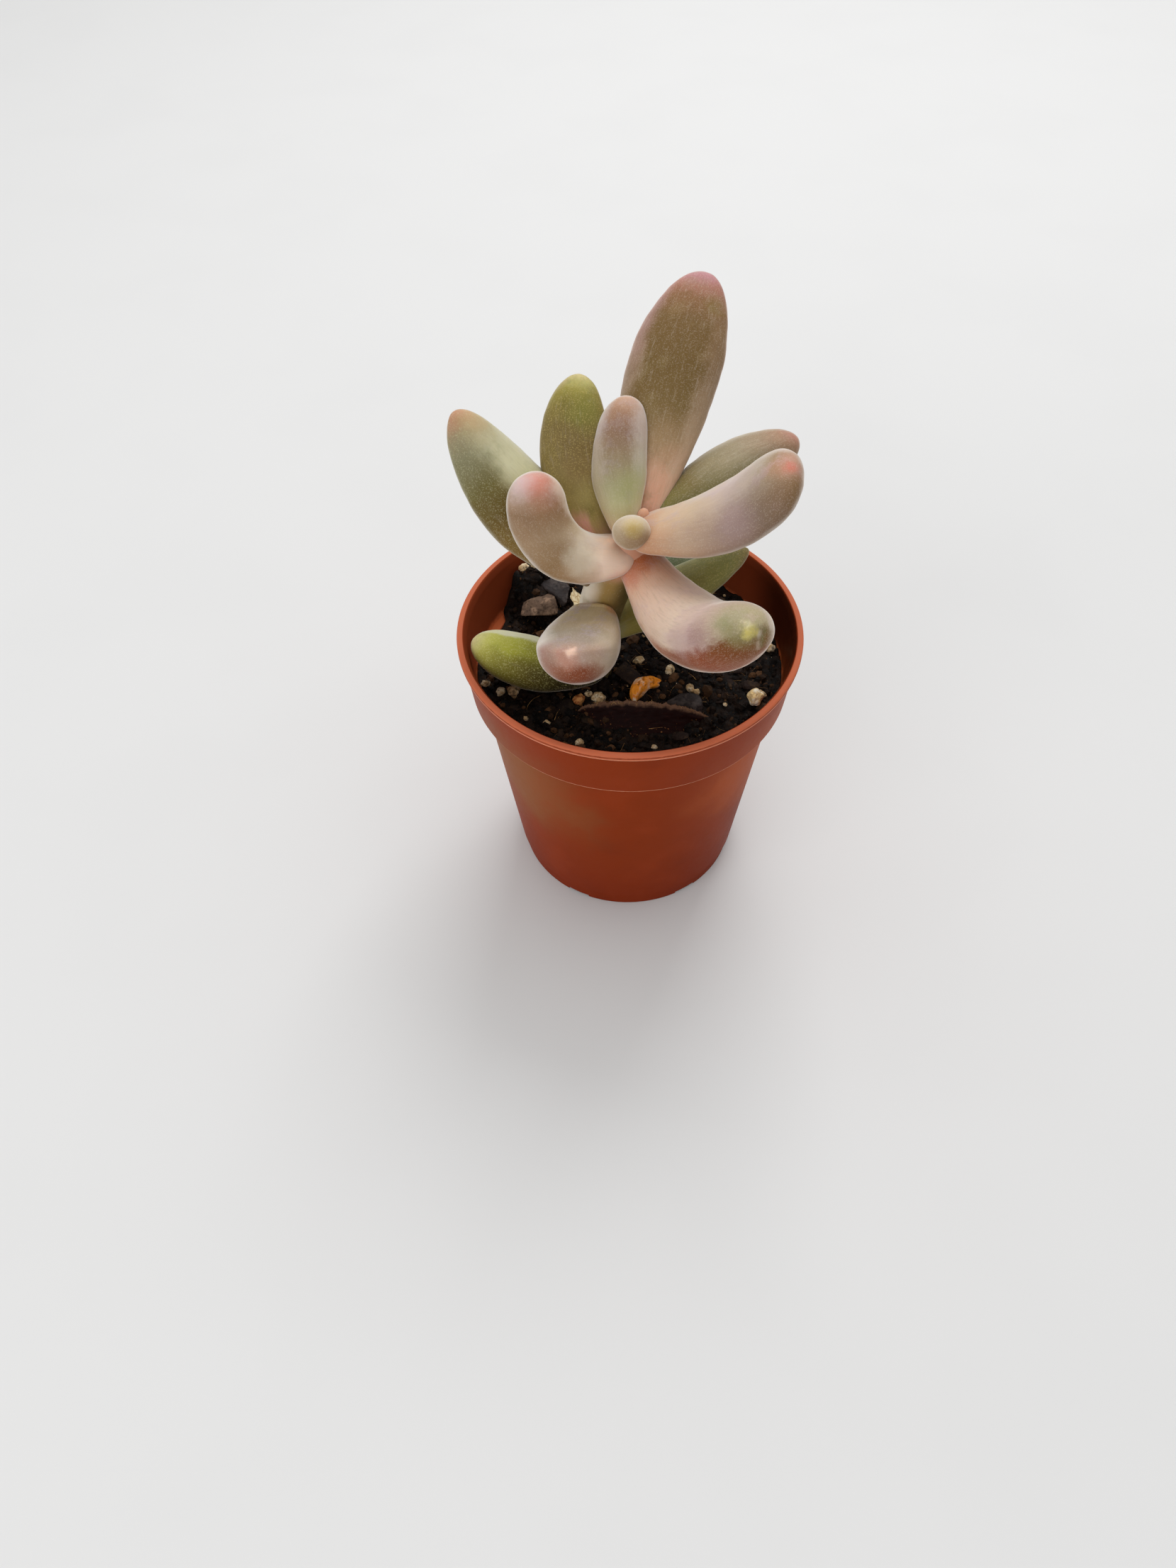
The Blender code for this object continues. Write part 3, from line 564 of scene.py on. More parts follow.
@dataclass(frozen=True)
class SoakedBark:
    """A flake of soaked bark: a smooth near-black face, with a torn, fibrous, rusty edge.

    It split along its layers and was torn across them, so its face is smooth and its edge rough and paler.
    """

    face: str = "1C0604"
    grain: str = "36150E"
    torn: str = "7C5C48"
    clinging: str = "A8713F"
    grain_size: float = 0.5 * MM
    crumbs: float = 0.35 * MM

    def material(self) -> Material:
        """Make the material.

        Returns:
            The finished material.
        """
        coat = Coat("Bark, soaked", (self.crumbs, 3.0, 0.5))
        edge = coat.add("ShaderNodeAttribute", out="Fac", attribute_name="edge")
        long = coat.add("ShaderNodeVectorMath", {0: coat.where, 1: (0.25, 1.0, 1.0)}, operation="MULTIPLY")
        grain = coat.add("ShaderNodeTexNoise", {"Vector": long, "Scale": 1.0 / self.grain_size, "Detail": 5.0,
                                                "Roughness": 0.65})
        worn = coat.add("ShaderNodeMath", {0: grain, 1: 0.5, 2: edge}, operation="MULTIPLY_ADD")
        # crumbs of soil and fibre cling to its lower part
        height = coat.add("ShaderNodeSeparateXYZ", {0: coat.where}, 2)
        cling = coat.add("ShaderNodeMath", {0: height, 1: -0.05 / MM, 2: coat.noises[0]},
                         operation="MULTIPLY_ADD")
        colour = coat.paint(self.face, (self.grain, grain, 0.5, 0.72, 0.7),
                            (self.torn, worn, 0.56, 0.95, 0.9), (self.clinging, cling, -1.47, -1.40, 0.7))
        return coat.done({"Base Color": colour, "Roughness": 0.6, "Specular IOR Level": 0.1},
                         grain, 0.5, 0.2 * MM)


@dataclass(frozen=True)
class Mineral:
    """A broken or weathered mineral in the soil: its colours, how big its grains are and how it shines.

    It broke or wore along its grains, so it is matt, and its pale veins and dark grains break up the light.
    """

    name: str
    base: str
    pale: str
    dark: str
    grain: float
    roughness: float = 0.8
    dirt: float = 0.0      # how much damp peat still clings to it
    peat: str = "24160E"
    smears: float = 0.9 * MM

    def material(self) -> Material:
        """Make the material.

        Returns:
            The finished material.
        """
        coat = Coat(self.name, (4.0 * self.grain, 5.0, 0.6), (self.grain, 3.0, 0.5), (self.smears, 4.0, 0.65))
        veins, grains, smears = coat.noises
        shade = coat.add("ShaderNodeAttribute", out="Fac", attribute_name="shade")
        colour = coat.paint(self.base, (self.pale, veins, 0.46, 0.62, 0.9),
                            (self.dark, grains, 0.42, 0.27, 0.75), (self.dark, shade, 0.45, 1.0, 0.5),
                            (self.peat, smears, 0.5, 0.62, self.dirt))
        return coat.done({"Base Color": colour, "Roughness": self.roughness, "Specular IOR Level": 0.2},
                         grains, 0.5, 0.5 * self.grain)


GREY_FLINT = Mineral("Flint, grey-brown", "6A5546", "947862", "3A2C22", 0.4 * MM, dirt=0.5)
SLATE = Mineral("Slate", "2F2828", "4C4340", "141011", 0.5 * MM, 0.6, 0.4)
ORANGE_PUMICE = Mineral("Pumice, iron stained", "FF9C2C", "FFF4DE", "8A4418", 0.8 * MM)
CREAM_PUMICE = Mineral("Pumice, cream", "F4D49A", "FFF6E2", "C08C50", 0.4 * MM, dirt=0.1)
PALE_GRIT = Mineral("Pumice grit", "CCAA7C", "F2DEBC", "7A5632", 0.3 * MM, dirt=0.7)
DARK_WOOD = Mineral("Rotted wood chip", "261812", "42301F", "0F0906", 0.45 * MM)
RUSTY_GRIT = Mineral("Clay grit, rusty", "A05A2C", "D79A5C", "4E2412", 0.3 * MM)
FIBRE = Mineral("Coir fibre", "7A5430", "D0A468", "3A2414", 0.5 * MM)


@dataclass(frozen=True)
class PaintedBoard:
    """A board under matt paint: its faint roller marks give the eye a nearly even pale ground."""

    tone: str = "E2E2E2"
    roller: str = "E0E0E0"
    marks: float = 40.0 * MM

    def material(self) -> Material:
        """Make the material.

        Returns:
            The finished material.
        """
        coat = Coat("Painted board, matt", (self.marks, 2.0, 0.5))
        colour = coat.paint(self.tone, (self.roller, coat.noises[0], 0.4, 0.7, 0.5))
        return coat.done({"Base Color": colour, "Roughness": 0.9, "Specular IOR Level": 0.1})


def show_piece(name: str, mesh: bpy.types.Mesh, slot: str, replaced: str | None = None) -> bpy.types.Object:
    """Put a finished mesh on the object's body and report it.

    Args:
        name: the piece's name.
        mesh: its mesh, in place and with its material.
        slot: the record's material slot; it is not used.
        replaced: the node that the piece stands for, if there is one.

    Returns:
        The piece.
    """
    piece = bpy.data.objects.new(name, mesh)
    mesh.name = name
    bpy.context.scene.collection.objects.link(piece)
    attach(piece, ROOT)
    if replaced is not None:
        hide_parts(replaced)
    mesh.calc_loop_triangles()
    LOG.info("%s: %d triangles", name, len(mesh.loop_triangles))
    return piece


def plain_mesh(name: str, bm: bmesh.types.BMesh) -> bpy.types.Mesh:
    """Turn a bmesh into a mesh.

    Args:
        name: the mesh's name.
        bm: the shape, which is freed.

    Returns:
        The mesh.
    """
    mesh = bpy.data.meshes.new(name)
    bm.to_mesh(mesh)
    bm.free()
    return mesh


def close_mesh(name: str, bm: bmesh.types.BMesh, finish: Material) -> bpy.types.Mesh:
    """Turn a closed bmesh into a smooth mesh whose faces point outwards.

    Args:
        name: the mesh's name.
        bm: the shape, which is freed.
        finish: its material.

    Returns:
        The mesh.
    """
    bmesh.ops.recalc_face_normals(bm, faces=bm.faces)
    mesh = plain_mesh(name, bm)
    mesh.shade_smooth()
    mesh.materials.append(finish)
    return mesh


def skin_rings(bm: bmesh.types.BMesh, rings: Sequence[Sequence[bmesh.types.BMVert]],
               first: bmesh.types.BMVert, last: bmesh.types.BMVert) -> None:
    """Close a stack of rings into a solid, with a fan at each end.

    Args:
        bm: the shape.
        rings: rings of as many points each.
        first: the point in the middle of the first ring.
        last: the point in the middle of the last ring.
    """
    for lower, upper in zip(rings, rings[1:]):
        for i in range(len(lower)):
            j = (i + 1) % len(lower)
            bm.faces.new((lower[i], lower[j], upper[j], upper[i]))
    for ring, middle in ((rings[0], first), (rings[-1], last)):
        for i in range(len(ring)):
            bm.faces.new((ring[i], ring[(i + 1) % len(ring)], middle))


def skin_sheets(bm: bmesh.types.BMesh, columns: int, rows: int,
                vert: Callable[[float, float, float], bmesh.types.BMVert]) -> None:
    """Build a thin piece from two matching sheets of points and close the rim between them.

    Args:
        bm: the shape.
        columns: how many faces lie side by side.
        rows: how many faces lie above one another.
        vert: makes the point at a place over the columns and a place over the rows, each 0 to 1, on the
            side -0.5 or 0.5.
    """
    front, back = ([[vert(i / columns, j / rows, side) for i in range(columns + 1)] for j in range(rows + 1)]
                   for side in (-0.5, 0.5))
    for j in range(rows):
        for i in range(columns):
            bm.faces.new((front[j][i], front[j][i + 1], front[j + 1][i + 1], front[j + 1][i]))
            bm.faces.new((back[j][i], back[j + 1][i], back[j + 1][i + 1], back[j][i + 1]))
        for i in (0, columns):
            bm.faces.new((front[j][i], front[j + 1][i], back[j + 1][i], back[j][i]))
    for j in (0, rows):
        for i in range(columns):
            bm.faces.new((front[j][i], back[j][i], back[j][i + 1], front[j][i + 1]))


def curve_point(points: Sequence, place: float) -> Vector | float:
    """Read a Catmull-Rom curve.

    Args:
        points: what the curve passes through, as vectors or numbers.
        place: where to read it, 0 at the first point and 1 at the last.

    Returns:
        The vector or number there.
    """
    spans = len(points) - 1
    i = min(int(place * spans), spans - 1)
    t = place * spans - i
    before, here = points[max(i - 1, 0)], points[i]
    there, after = points[i + 1], points[min(i + 2, spans)]
    return 0.5 * ((2.0 * here) + (there - before) * t
                  + (2.0 * before - 5.0 * here + 4.0 * there - after) * t * t
                  + (3.0 * here - before - 3.0 * there + after) * t ** 3)


class Rule:
    """A Geometry Nodes tree that is run once on a mesh, with a named input for each of its sizes."""

    def __init__(self, name: str) -> None:
        """Start a tree.

        Args:
            name: what the tree is called.
        """
        self.tree = bpy.data.node_groups.new(name, "GeometryNodeTree")
        for side in ("INPUT", "OUTPUT"):
            self.tree.interface.new_socket("Geometry", in_out=side, socket_type="NodeSocketGeometry")
        self.source = self.tree.nodes.new("NodeGroupInput")
        self.values: dict[str, object] = {}

    def given(self, name: str, value: int | float | Material) -> Socket:
        """Add a named input.

        Args:
            name: what the input is called.
            value: a whole number, a size or a material.

        Returns:
            The output that brings it into the tree.
        """
        kinds = {int: "NodeSocketInt", float: "NodeSocketFloat", Material: "NodeSocketMaterial"}
        socket = self.tree.interface.new_socket(name, in_out="INPUT", socket_type=kinds[type(value)])
        self.values[socket.identifier] = value
        return self.source.outputs[name]

    def add(self, kind: str, inputs: Inputs | None = None, out: int | str = 0, **settings: object) -> Socket:
        """Add a node to the tree, as add_node does."""
        return add_node(self.tree, kind, inputs, out, **settings)

    def run(self, mesh: bpy.types.Mesh, shape: Socket, finish: Material) -> bpy.types.Mesh:
        """Close the tree and evaluate it once.

        Args:
            mesh: what the tree starts from.
            shape: the tree's last geometry.
            finish: the material of the result.

        Returns:
            A plain mesh with real faces.
        """
        real = self.add("GeometryNodeRealizeInstances", {"Geometry": shape})
        dressed = self.add("GeometryNodeSetMaterial", {"Geometry": real,
                                                       "Material": self.given("Finish", finish)})
        feed(self.tree, self.tree.nodes.new("NodeGroupOutput"), {"Geometry": dressed})
        holder = bpy.data.objects.new(self.tree.name, mesh)
        modifier = holder.modifiers.new("Rule", "NODES")
        modifier.node_group = self.tree
        for identifier, value in self.values.items():
            modifier[identifier] = value
        bpy.context.scene.collection.objects.link(holder)
        graph = bpy.context.evaluated_depsgraph_get()
        result = bpy.data.meshes.new_from_object(holder.evaluated_get(graph))
        holder.modifiers.remove(modifier)
        bpy.data.objects.remove(holder, do_unlink=True)
        return result


@dataclass
class NurseryPot:
    """The moulded pot: a tapered body under a wider collar, a beaded lip and a drained foot."""

    steps: int = 180
    wall: float = 1.0 * MM
    collar_height: float = 9.9 * MM
    lip_height: float = 1.0 * MM
    collar_top: float = 26.9 * MM
    collar_low: float = 26.0 * MM
    body_top: float = 24.4 * MM
    foot_radius: float = 19.5 * MM
    foot_step: float = 0.25 * MM
    foot_height: float = 3.0 * MM
    floor: float = 1.5 * MM
    edge: float = 0.3 * MM
    drain_count: int = 6
    drain_sides: int = 32
    drain_turn: float = 1.0
    drain_radius: float = 2.3 * MM
    drain_place: float = 12.8 * MM
    channel_width: float = 4.0 * MM
    channel_depth: float = 0.5 * MM
    channel_middle: float = 16.5 * MM
    channel_length: float = 9.0 * MM
    weld: float = 0.005 * MM     # the seam and the poles close within this
    crease: float = 40.0         # an edge sharper than this is shaded sharp

    def __post_init__(self) -> None:
        """Read the pot's height and lip from the frame."""
        _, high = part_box("pot")
        self.height = high.z
        self.lip_radius = high.x
        self.step = self.height - self.collar_height
        self.under_lip = self.height - self.lip_height
        self.shelf = self.step + self.wall
        self.wall_middle = self.collar_low - 0.5 * self.wall
        self.lip_inner = self.collar_top - self.edge
        self.collar_flare = (self.collar_top - self.collar_low) / (self.under_lip - self.step)
        # where the painted sheen and the painted reflection on the body are centred
        self.olive_sheen_at = (-0.80 * self.body_top, -0.60 * self.body_top, 0.8 * self.step)
        self.warm_reflection_at = (0.86 * self.body_top, -0.51 * self.body_top, 0.85 * self.step)

    def outline(self) -> list[tuple[float, float]]:
        """Give the wall's section.

        Returns:
            Points of radius and height, from the middle of the base, up outside and down inside.
        """
        foot = self.foot_radius - self.foot_step
        inner = self.collar_top - self.wall
        bead = [(self.lip_radius - self.edge * (1.0 - math.cos(turn)),
                 self.height - self.edge * (1.0 - math.sin(turn)))
                for turn in (0.0, 0.4, 0.8, 1.2, 0.5 * math.pi)]
        return [
            (0.0, 0.0),
            (foot - 0.15 * MM, 0.0),
            (foot, 0.1 * MM),
            (foot + self.edge, self.foot_height),
            (foot + 2.0 * self.edge, self.foot_height + 0.1 * MM),
            (self.body_top - 0.1 * MM, self.step - 1.2 * MM),
            (self.body_top, self.step - self.edge),
            (self.body_top + 0.12 * MM, self.step - 0.08 * MM),
            (self.collar_low - self.edge, self.step),
            (self.collar_low - 0.08 * MM, self.step + 0.08 * MM),
            (self.collar_low, self.step + self.edge),
            (self.collar_top, self.under_lip - 0.3 * MM),
            (self.collar_top + 0.05 * MM, self.under_lip - 0.1 * MM),
            (self.lip_radius - 0.15 * MM, self.under_lip),
            (self.lip_radius - 0.04 * MM, self.under_lip + 0.1 * MM),
            (self.lip_radius, self.under_lip + self.edge),
            *bead,
            (inner + 2.5 * self.edge, self.height),
            (inner + 1.9 * self.edge, self.height - 0.08 * MM),
            (inner + 1.5 * self.edge, self.height - self.edge),
            (inner + 0.1 * MM, self.under_lip),
            (inner, self.under_lip - 0.4 * MM),
            (self.collar_low - self.wall + 0.05 * MM, self.shelf + 0.3 * MM),
            (self.collar_low - self.wall - 0.2 * MM, self.shelf),
            (self.body_top - self.wall + 0.1 * MM, self.shelf),
            (self.body_top - self.wall, self.shelf - 0.15 * MM),
            (self.foot_radius - self.wall, self.floor),
            (0.0, self.floor),
        ]

    def profile(self) -> bpy.types.Mesh:
        """Make the section as a chain of edges.

        Returns:
            A mesh of edges alone, in the plane of X and Z.
        """
        points = [(radius, 0.0, height) for radius, height in self.outline()]
        mesh = bpy.data.meshes.new("pot_section")
        mesh.from_pydata(points, [(i, i + 1) for i in range(len(points) - 1)], [])
        return mesh

    def build(self) -> bpy.types.Object:
        """Turn the section round the axis, cut the drains, and show the pot.

        Returns:
            The piece.
        """
        rule = Rule("Turned pot")
        steps = rule.given("Steps", self.steps)
        count = rule.given("Section points", len(self.outline()))
        columns = rule.add("ShaderNodeMath", {0: steps, 1: 1.0}, operation="ADD")
        grid = rule.add("GeometryNodeMeshGrid", {"Vertices X": count, "Vertices Y": columns})
        number = rule.add("GeometryNodeInputIndex")
        row = rule.add("ShaderNodeMath", {0: number, 1: columns}, operation="DIVIDE")
        row = rule.add("ShaderNodeMath", {0: row}, operation="FLOOR")
        column = rule.add("ShaderNodeMath", {0: number, 1: columns}, operation="MODULO")
        angle = rule.add("ShaderNodeMath", {0: column, 1: steps}, operation="DIVIDE")
        angle = rule.add("ShaderNodeMath", {0: angle, 1: 2.0 * math.pi}, operation="MULTIPLY")
        place = rule.add("GeometryNodeInputPosition")
        point = rule.add("GeometryNodeSampleIndex", {
            "Geometry": rule.source.outputs["Geometry"], "Value": place, "Index": row},
                         data_type="FLOAT_VECTOR", domain="POINT")
        turned = rule.add("ShaderNodeVectorRotate", {
            "Vector": point, "Axis": (0.0, 0.0, 1.0), "Angle": angle}, rotation_type="AXIS_ANGLE")
        shape = rule.add("GeometryNodeSetPosition", {"Geometry": grid, "Position": turned})
        shape = rule.add("GeometryNodeMergeByDistance", {"Geometry": shape, "Distance": self.weld})
        shape = rule.add("GeometryNodeFlipFaces", {0: shape})
        drain = rule.given("Drain radius", self.drain_radius)
        hole = rule.add("GeometryNodeMeshCylinder", {"Vertices": self.drain_sides, "Radius": drain,
                                                     "Depth": 4.0 * self.floor})
        channel = rule.add("GeometryNodeMeshCube", {
            "Size": (self.channel_length, self.channel_width, 2.0 * self.channel_depth)})
        for cutter, reach in ((hole, self.drain_place), (channel, self.channel_middle)):
            drains = rule.given(f"Drains at {reach / MM:.1f}", self.drain_count)
            ring = rule.add("GeometryNodeMeshCircle", {"Vertices": drains, "Radius": reach})
            turn = rule.add("ShaderNodeCombineXYZ", {2: math.radians(self.drain_turn)})
            ring = rule.add("GeometryNodeTransform", {"Geometry": ring, "Rotation": turn})
            spot = rule.add("ShaderNodeSeparateXYZ", {0: place}).node.outputs
            heading = rule.add("ShaderNodeMath", {0: spot[1], 1: spot[0]}, operation="ARCTAN2")
            heading = rule.add("ShaderNodeCombineXYZ", {2: heading})
            tools = rule.add("GeometryNodeInstanceOnPoints", {"Points": ring, "Instance": cutter,
                                                              "Rotation": heading})
            tools = rule.add("GeometryNodeRealizeInstances", {0: tools})
            shape = rule.add("GeometryNodeMeshBoolean", {"Mesh 1": shape, "Mesh 2": tools},
                             operation="DIFFERENCE", solver="EXACT")
        mesh = rule.run(self.profile(), shape, MouldedPolypropylene().material(self))
        mesh.shade_smooth()
        mesh.set_sharp_from_angle(angle=math.radians(self.crease))
        return show_piece("nursery_pot", mesh, "terracotta_plastic", "pot")


@dataclass
class PottingSoil:
    """The soil: a lumpy bed that fills the pot, banked up at the back left, with what is strewn on it."""

    pot: NurseryPot
    top: float = 42.0 * MM
    lump: float = 3.2 * MM
    roughness: float = 0.45 * MM
    bank_height: float = 5.6 * MM
    bank_inner: float = 11.0 * MM
    bank_outer: float = 24.0 * MM
    bank_left: float = 146.0
    bank_left_blend: float = 7.0
    bank_right: float = 75.0
    bank_right_blend: float = 35.0
    bare: tuple[float, float] = (147.0, 178.0)
    bare_blend: float = 5.0
    bare_edge: float = 23.2 * MM
    rest: float = 41.4 * MM
    gap: float = 0.25 * MM        # between the bed and the collar
    play: float = 0.3 * MM        # between the plug and the pot's body
    skin: float = 0.1 * MM        # how thick the bed is at least
    clod: float = 2.3 * MM
    clod_rise: float = 0.35 * MM
    crumb: float = 1.1 * MM
    crumb_rise: float = 0.3 * MM
    hollow: float = 0.75 * MM     # how deep the gaps between clods are
    fraying: float = 0.5 * MM     # how far the bed's bare edge wanders
    rings: int = 100
    steps: int = 280
    sheet_rings: int = 40

    def height(self, x: float, y: float) -> float:
        """Give the bed's general height at a point.

        Args:
            x: how far right the point lies.
            y: how far back it lies.

        Returns:
            The height there.
        """
        radius = math.hypot(x, y)
        heading = math.degrees(math.atan2(y, x)) % 360.0
        out = eased((radius - self.bank_inner) / (self.bank_outer - self.bank_inner))
        left = eased((self.bank_left - heading) / self.bank_left_blend)
        right = eased((heading - self.bank_right) / self.bank_right_blend)
        lumps = noise.noise(Vector((x, y, SEED * MM)) / self.lump)
        return self.top + self.bank_height * out * left * right + self.roughness * lumps

    def crumbled(self, x: float, y: float) -> float:
        """Give the height at a point with the crumbs and hollows of real soil.

        Args:
            x: how far right the point lies.
            y: how far back it lies.

        Returns:
            The height there.
        """
        here = Vector((x, y, 0.0))
        clods = noise.voronoi(here / self.clod + Vector((7.0, 1.0, 4.0)))[0]
        crumbs = noise.fractal(here / self.crumb, 0.8, 2.1, 3)
        gaps = 1.0 - eased((clods[1] - clods[0]) / 0.3)
        return (self.height(x, y) + self.clod_rise * (0.5 - clods[0]) + self.crumb_rise * crumbs
                - self.hollow * gaps)

    def edge(self, heading: float) -> float:
        """Give the radius to which the bed reaches, less where the pot's shelf is bare.

        Args:
            heading: the direction from the pot's axis, in degrees.

        Returns:
            The radius there.
        """
        low, high = self.bare
        bare = eased((heading - low) / self.bare_blend) * eased((high - heading) / self.bare_blend)
        share = (self.top - self.pot.shelf) / (self.pot.under_lip - self.pot.shelf)
        wall = self.pot.collar_low - self.pot.wall + share * (self.pot.collar_top - self.pot.collar_low)
        turn = math.radians(heading)
        ragged = self.fraying * noise.noise(Vector((math.cos(turn) * 9.0, math.sin(turn) * 9.0, 2.0)))
        return (wall - self.gap) * (1.0 - bare) + (self.bare_edge + ragged) * bare

    def build_bed(self) -> bpy.types.Object:
        """Build the bed itself, a plug that fits the pot.

        Returns:
            The piece.
        """
        bm = bmesh.new()
        neck = self.pot.body_top - self.pot.wall - self.play
        foot = self.pot.foot_radius - self.pot.wall - self.play
        floor = self.pot.floor + self.play
        angles = [2.0 * math.pi * i / self.steps for i in range(self.steps)]
        edges = [self.edge(math.degrees(angle)) for angle in angles]
        rings = [[bm.verts.new((r * math.cos(a), r * math.sin(a), level)) for a, r in zip(angles, radii)]
                 for radii, level in (([foot] * self.steps, floor), ([neck] * self.steps, self.rest),
                                      (edges, self.rest))]
        for k in range(self.rings):
            share = 1.0 - k / self.rings
            ring = []
            for angle, edge in zip(angles, edges):
                x, y = edge * share * math.cos(angle), edge * share * math.sin(angle)
                ring.append(bm.verts.new((x, y, max(self.rest + self.skin, self.crumbled(x, y)))))
            rings.append(ring)
        base = bm.verts.new((0.0, 0.0, floor))
        middle = bm.verts.new((0.0, 0.0, self.crumbled(0.0, 0.0)))
        skin_rings(bm, rings, base, middle)
        return show_piece("soil_bed", close_mesh("soil_bed", bm, DampPeat().material()), "peat_soil", "soil")

    def seed_bed(self, margin: float) -> bpy.types.Mesh:
        """Make the sheet on which things are strewn.

        Args:
            margin: how far the sheet stays from the pot's wall.

        Returns:
            An open sheet that follows the bed's surface.
        """
        bm = bmesh.new()
        previous: list[bmesh.types.BMVert] = []
        steps = self.steps // 4
        for k in range(self.sheet_rings):
            ring = []
            for i in range(steps):
                angle = 2.0 * math.pi * i / steps
                share = 1.0 - 0.95 * k / (self.sheet_rings - 1.0)
                radius = (self.edge(math.degrees(angle)) - margin) * share
                x, y = radius * math.cos(angle), radius * math.sin(angle)
                ring.append(bm.verts.new((x, y, self.crumbled(x, y))))
            for i in range(steps if previous else 0):
                j = (i + 1) % steps
                bm.faces.new((previous[i], previous[j], ring[j], ring[i]))
            previous = ring
        return plain_mesh("seed_bed", bm)


class Strewn(Enum):
    """What is strewn: how many per square metre, their smallest and largest size, and the seed."""

    PEAT_CRUMBS = (1.5e6, 0.2 * MM, 0.95 * MM, 11)
    PEAT_CLODS = (1.1e5, 0.8 * MM, 1.9 * MM, 14)
    WOOD_CHIPS = (7.0e4, 0.7 * MM, 2.1 * MM, 12)
    PALE_GRIT = (5.0e4, 0.12 * MM, 0.45 * MM, 13)
    SOIL_FIBRES = (1.9e5, 0.7 * MM, 4.4 * MM, 21)
    BARK_FRINGE = (9.0e6, 0.3 * MM, 0.9 * MM, 31)


@dataclass
class Scatter:
    """Things of one kind, strewn over a sheet by a rule."""

    name: str
    kind: Strewn
    slot: str
    finish: Material

    def forms(self, rule: Rule) -> list[Socket]:
        """Add the three forms that the things come in.

        Args:
            rule: the rule that strews them.

        Returns:
            The geometry of each form, at a scale of one.
        """
        raise NotImplementedError

    def stretch(self, rule: Rule, size: Socket) -> Socket:
        """Give each thing's scale, which is its size if it isn't stretched.

        Args:
            rule: the rule that strews them; it is not used here.
            size: each thing's size.

        Returns:
            The scale.
        """
        return size

    def strew(self, bed: bpy.types.Mesh, rarity: float, tilt: tuple[float, float]) -> bpy.types.Object:
        """Strew the things over a sheet and show them.

        Args:
            bed: the sheet.
            rarity: how much rarer the large ones are than the small ones.
            tilt: how far they tilt about X and about Y, in radians.

        Returns:
            The piece.
        """
        density, smallest, largest, seed = self.kind.value
        rule = Rule("Strewn " + self.name)
        start = rule.given("Seed", seed)
        points = rule.add("GeometryNodeDistributePointsOnFaces", {
            "Mesh": rule.source.outputs["Geometry"], "Density": rule.given("Density", density),
            "Seed": start})
        forms = [rule.add("GeometryNodeGeometryToInstance", {0: form}) for form in self.forms(rule)]
        forms = rule.add("GeometryNodeJoinGeometry", {0: forms})
        chance = rule.add("FunctionNodeRandomValue", {2: 0.0, 3: 1.0, "Seed": start}, 1, data_type="FLOAT")
        rarer = rule.add("ShaderNodeMath", {0: chance, 1: rarity}, operation="POWER")
        size = rule.add("ShaderNodeMapRange", {"Value": rarer, "To Min": rule.given("Smallest", smallest),
                                               "To Max": rule.given("Largest", largest)})
        most = (*tilt, math.pi)
        turn = rule.add("FunctionNodeRandomValue", {0: tuple(-angle for angle in most), 1: most},
                        data_type="FLOAT_VECTOR")
        choice = rule.add("FunctionNodeRandomValue", {4: 0, 5: 2}, 2, data_type="INT")
        laid = rule.add("GeometryNodeInstanceOnPoints", {
            "Points": points, "Instance": forms, "Pick Instance": True, "Instance Index": choice,
            "Rotation": turn, "Scale": self.stretch(rule, size)})
        shade = rule.add("FunctionNodeRandomValue", {2: 0.0, 3: 1.0, "Seed": seed + 1}, 1, data_type="FLOAT")
        laid = rule.add("GeometryNodeStoreNamedAttribute", {
            "Geometry": laid, "Name": "shade", "Value": shade}, data_type="FLOAT", domain="INSTANCE")
        return show_piece(self.name, rule.run(bed, laid, self.finish), self.slot)


@dataclass
class StrewnPieces(Scatter):
    """Crumbs, chips or grit. Flat ones lie roughly flat, and the others lie in any way."""

    flatness: float = 0.75
    lumpiness: float = 0.55
    rarity: float = 2.6
    lying: float = 0.55          # how far flat ones tilt, in radians

    def forms(self, rule: Rule) -> list[Socket]:
        """Add three lumpy balls.

        Args:
            rule: the rule that strews them.

        Returns:
            The geometry of each.
        """
        forms = []
        for number in range(3):
            block = rule.add("GeometryNodeMeshCube", {"Size": (2.0, 2.0, 2.0), "Vertices X": 3,
                                                      "Vertices Y": 3, "Vertices Z": 3})
            corner = rule.add("GeometryNodeInputPosition")
            outward = rule.add("ShaderNodeVectorMath", {0: corner}, operation="NORMALIZE")
            ball = rule.add("GeometryNodeSetPosition", {"Geometry": block, "Position": outward})
            lumps = rule.add("ShaderNodeTexNoise", {"W": 3.7 * number, "Scale": 1.3, "Detail": 1.0}, "Color",
                             noise_dimensions="4D")
            shift = rule.add("ShaderNodeVectorMath", {0: lumps, 1: (0.5, 0.5, 0.5)}, operation="SUBTRACT")
            shift = rule.add("ShaderNodeVectorMath", {0: shift, 1: (2.0 * self.lumpiness,) * 3},
                             operation="MULTIPLY")
            forms.append(rule.add("GeometryNodeSetPosition", {"Geometry": ball, "Offset": shift}))
        return forms

    def stretch(self, rule: Rule, size: Socket) -> Socket:
        """Give each piece's scale, with a length, a width and a thickness of its own.

        Args:
            rule: the rule that strews them.
            size: each piece's size.

        Returns:
            The scale.
        """
        spread = rule.add("FunctionNodeRandomValue", {0: (0.6, 0.5, 0.7 * self.flatness),
                                                      1: (1.0, 0.9, self.flatness)}, data_type="FLOAT_VECTOR")
        return rule.add("ShaderNodeVectorMath", {0: spread, "Scale": size}, operation="SCALE")

    def build(self, bed: bpy.types.Mesh) -> bpy.types.Object:
        """Strew the pieces over a sheet and show them."""
        tilt = self.lying if self.flatness < 0.5 else math.pi
        return self.strew(bed, self.rarity, (tilt, tilt))


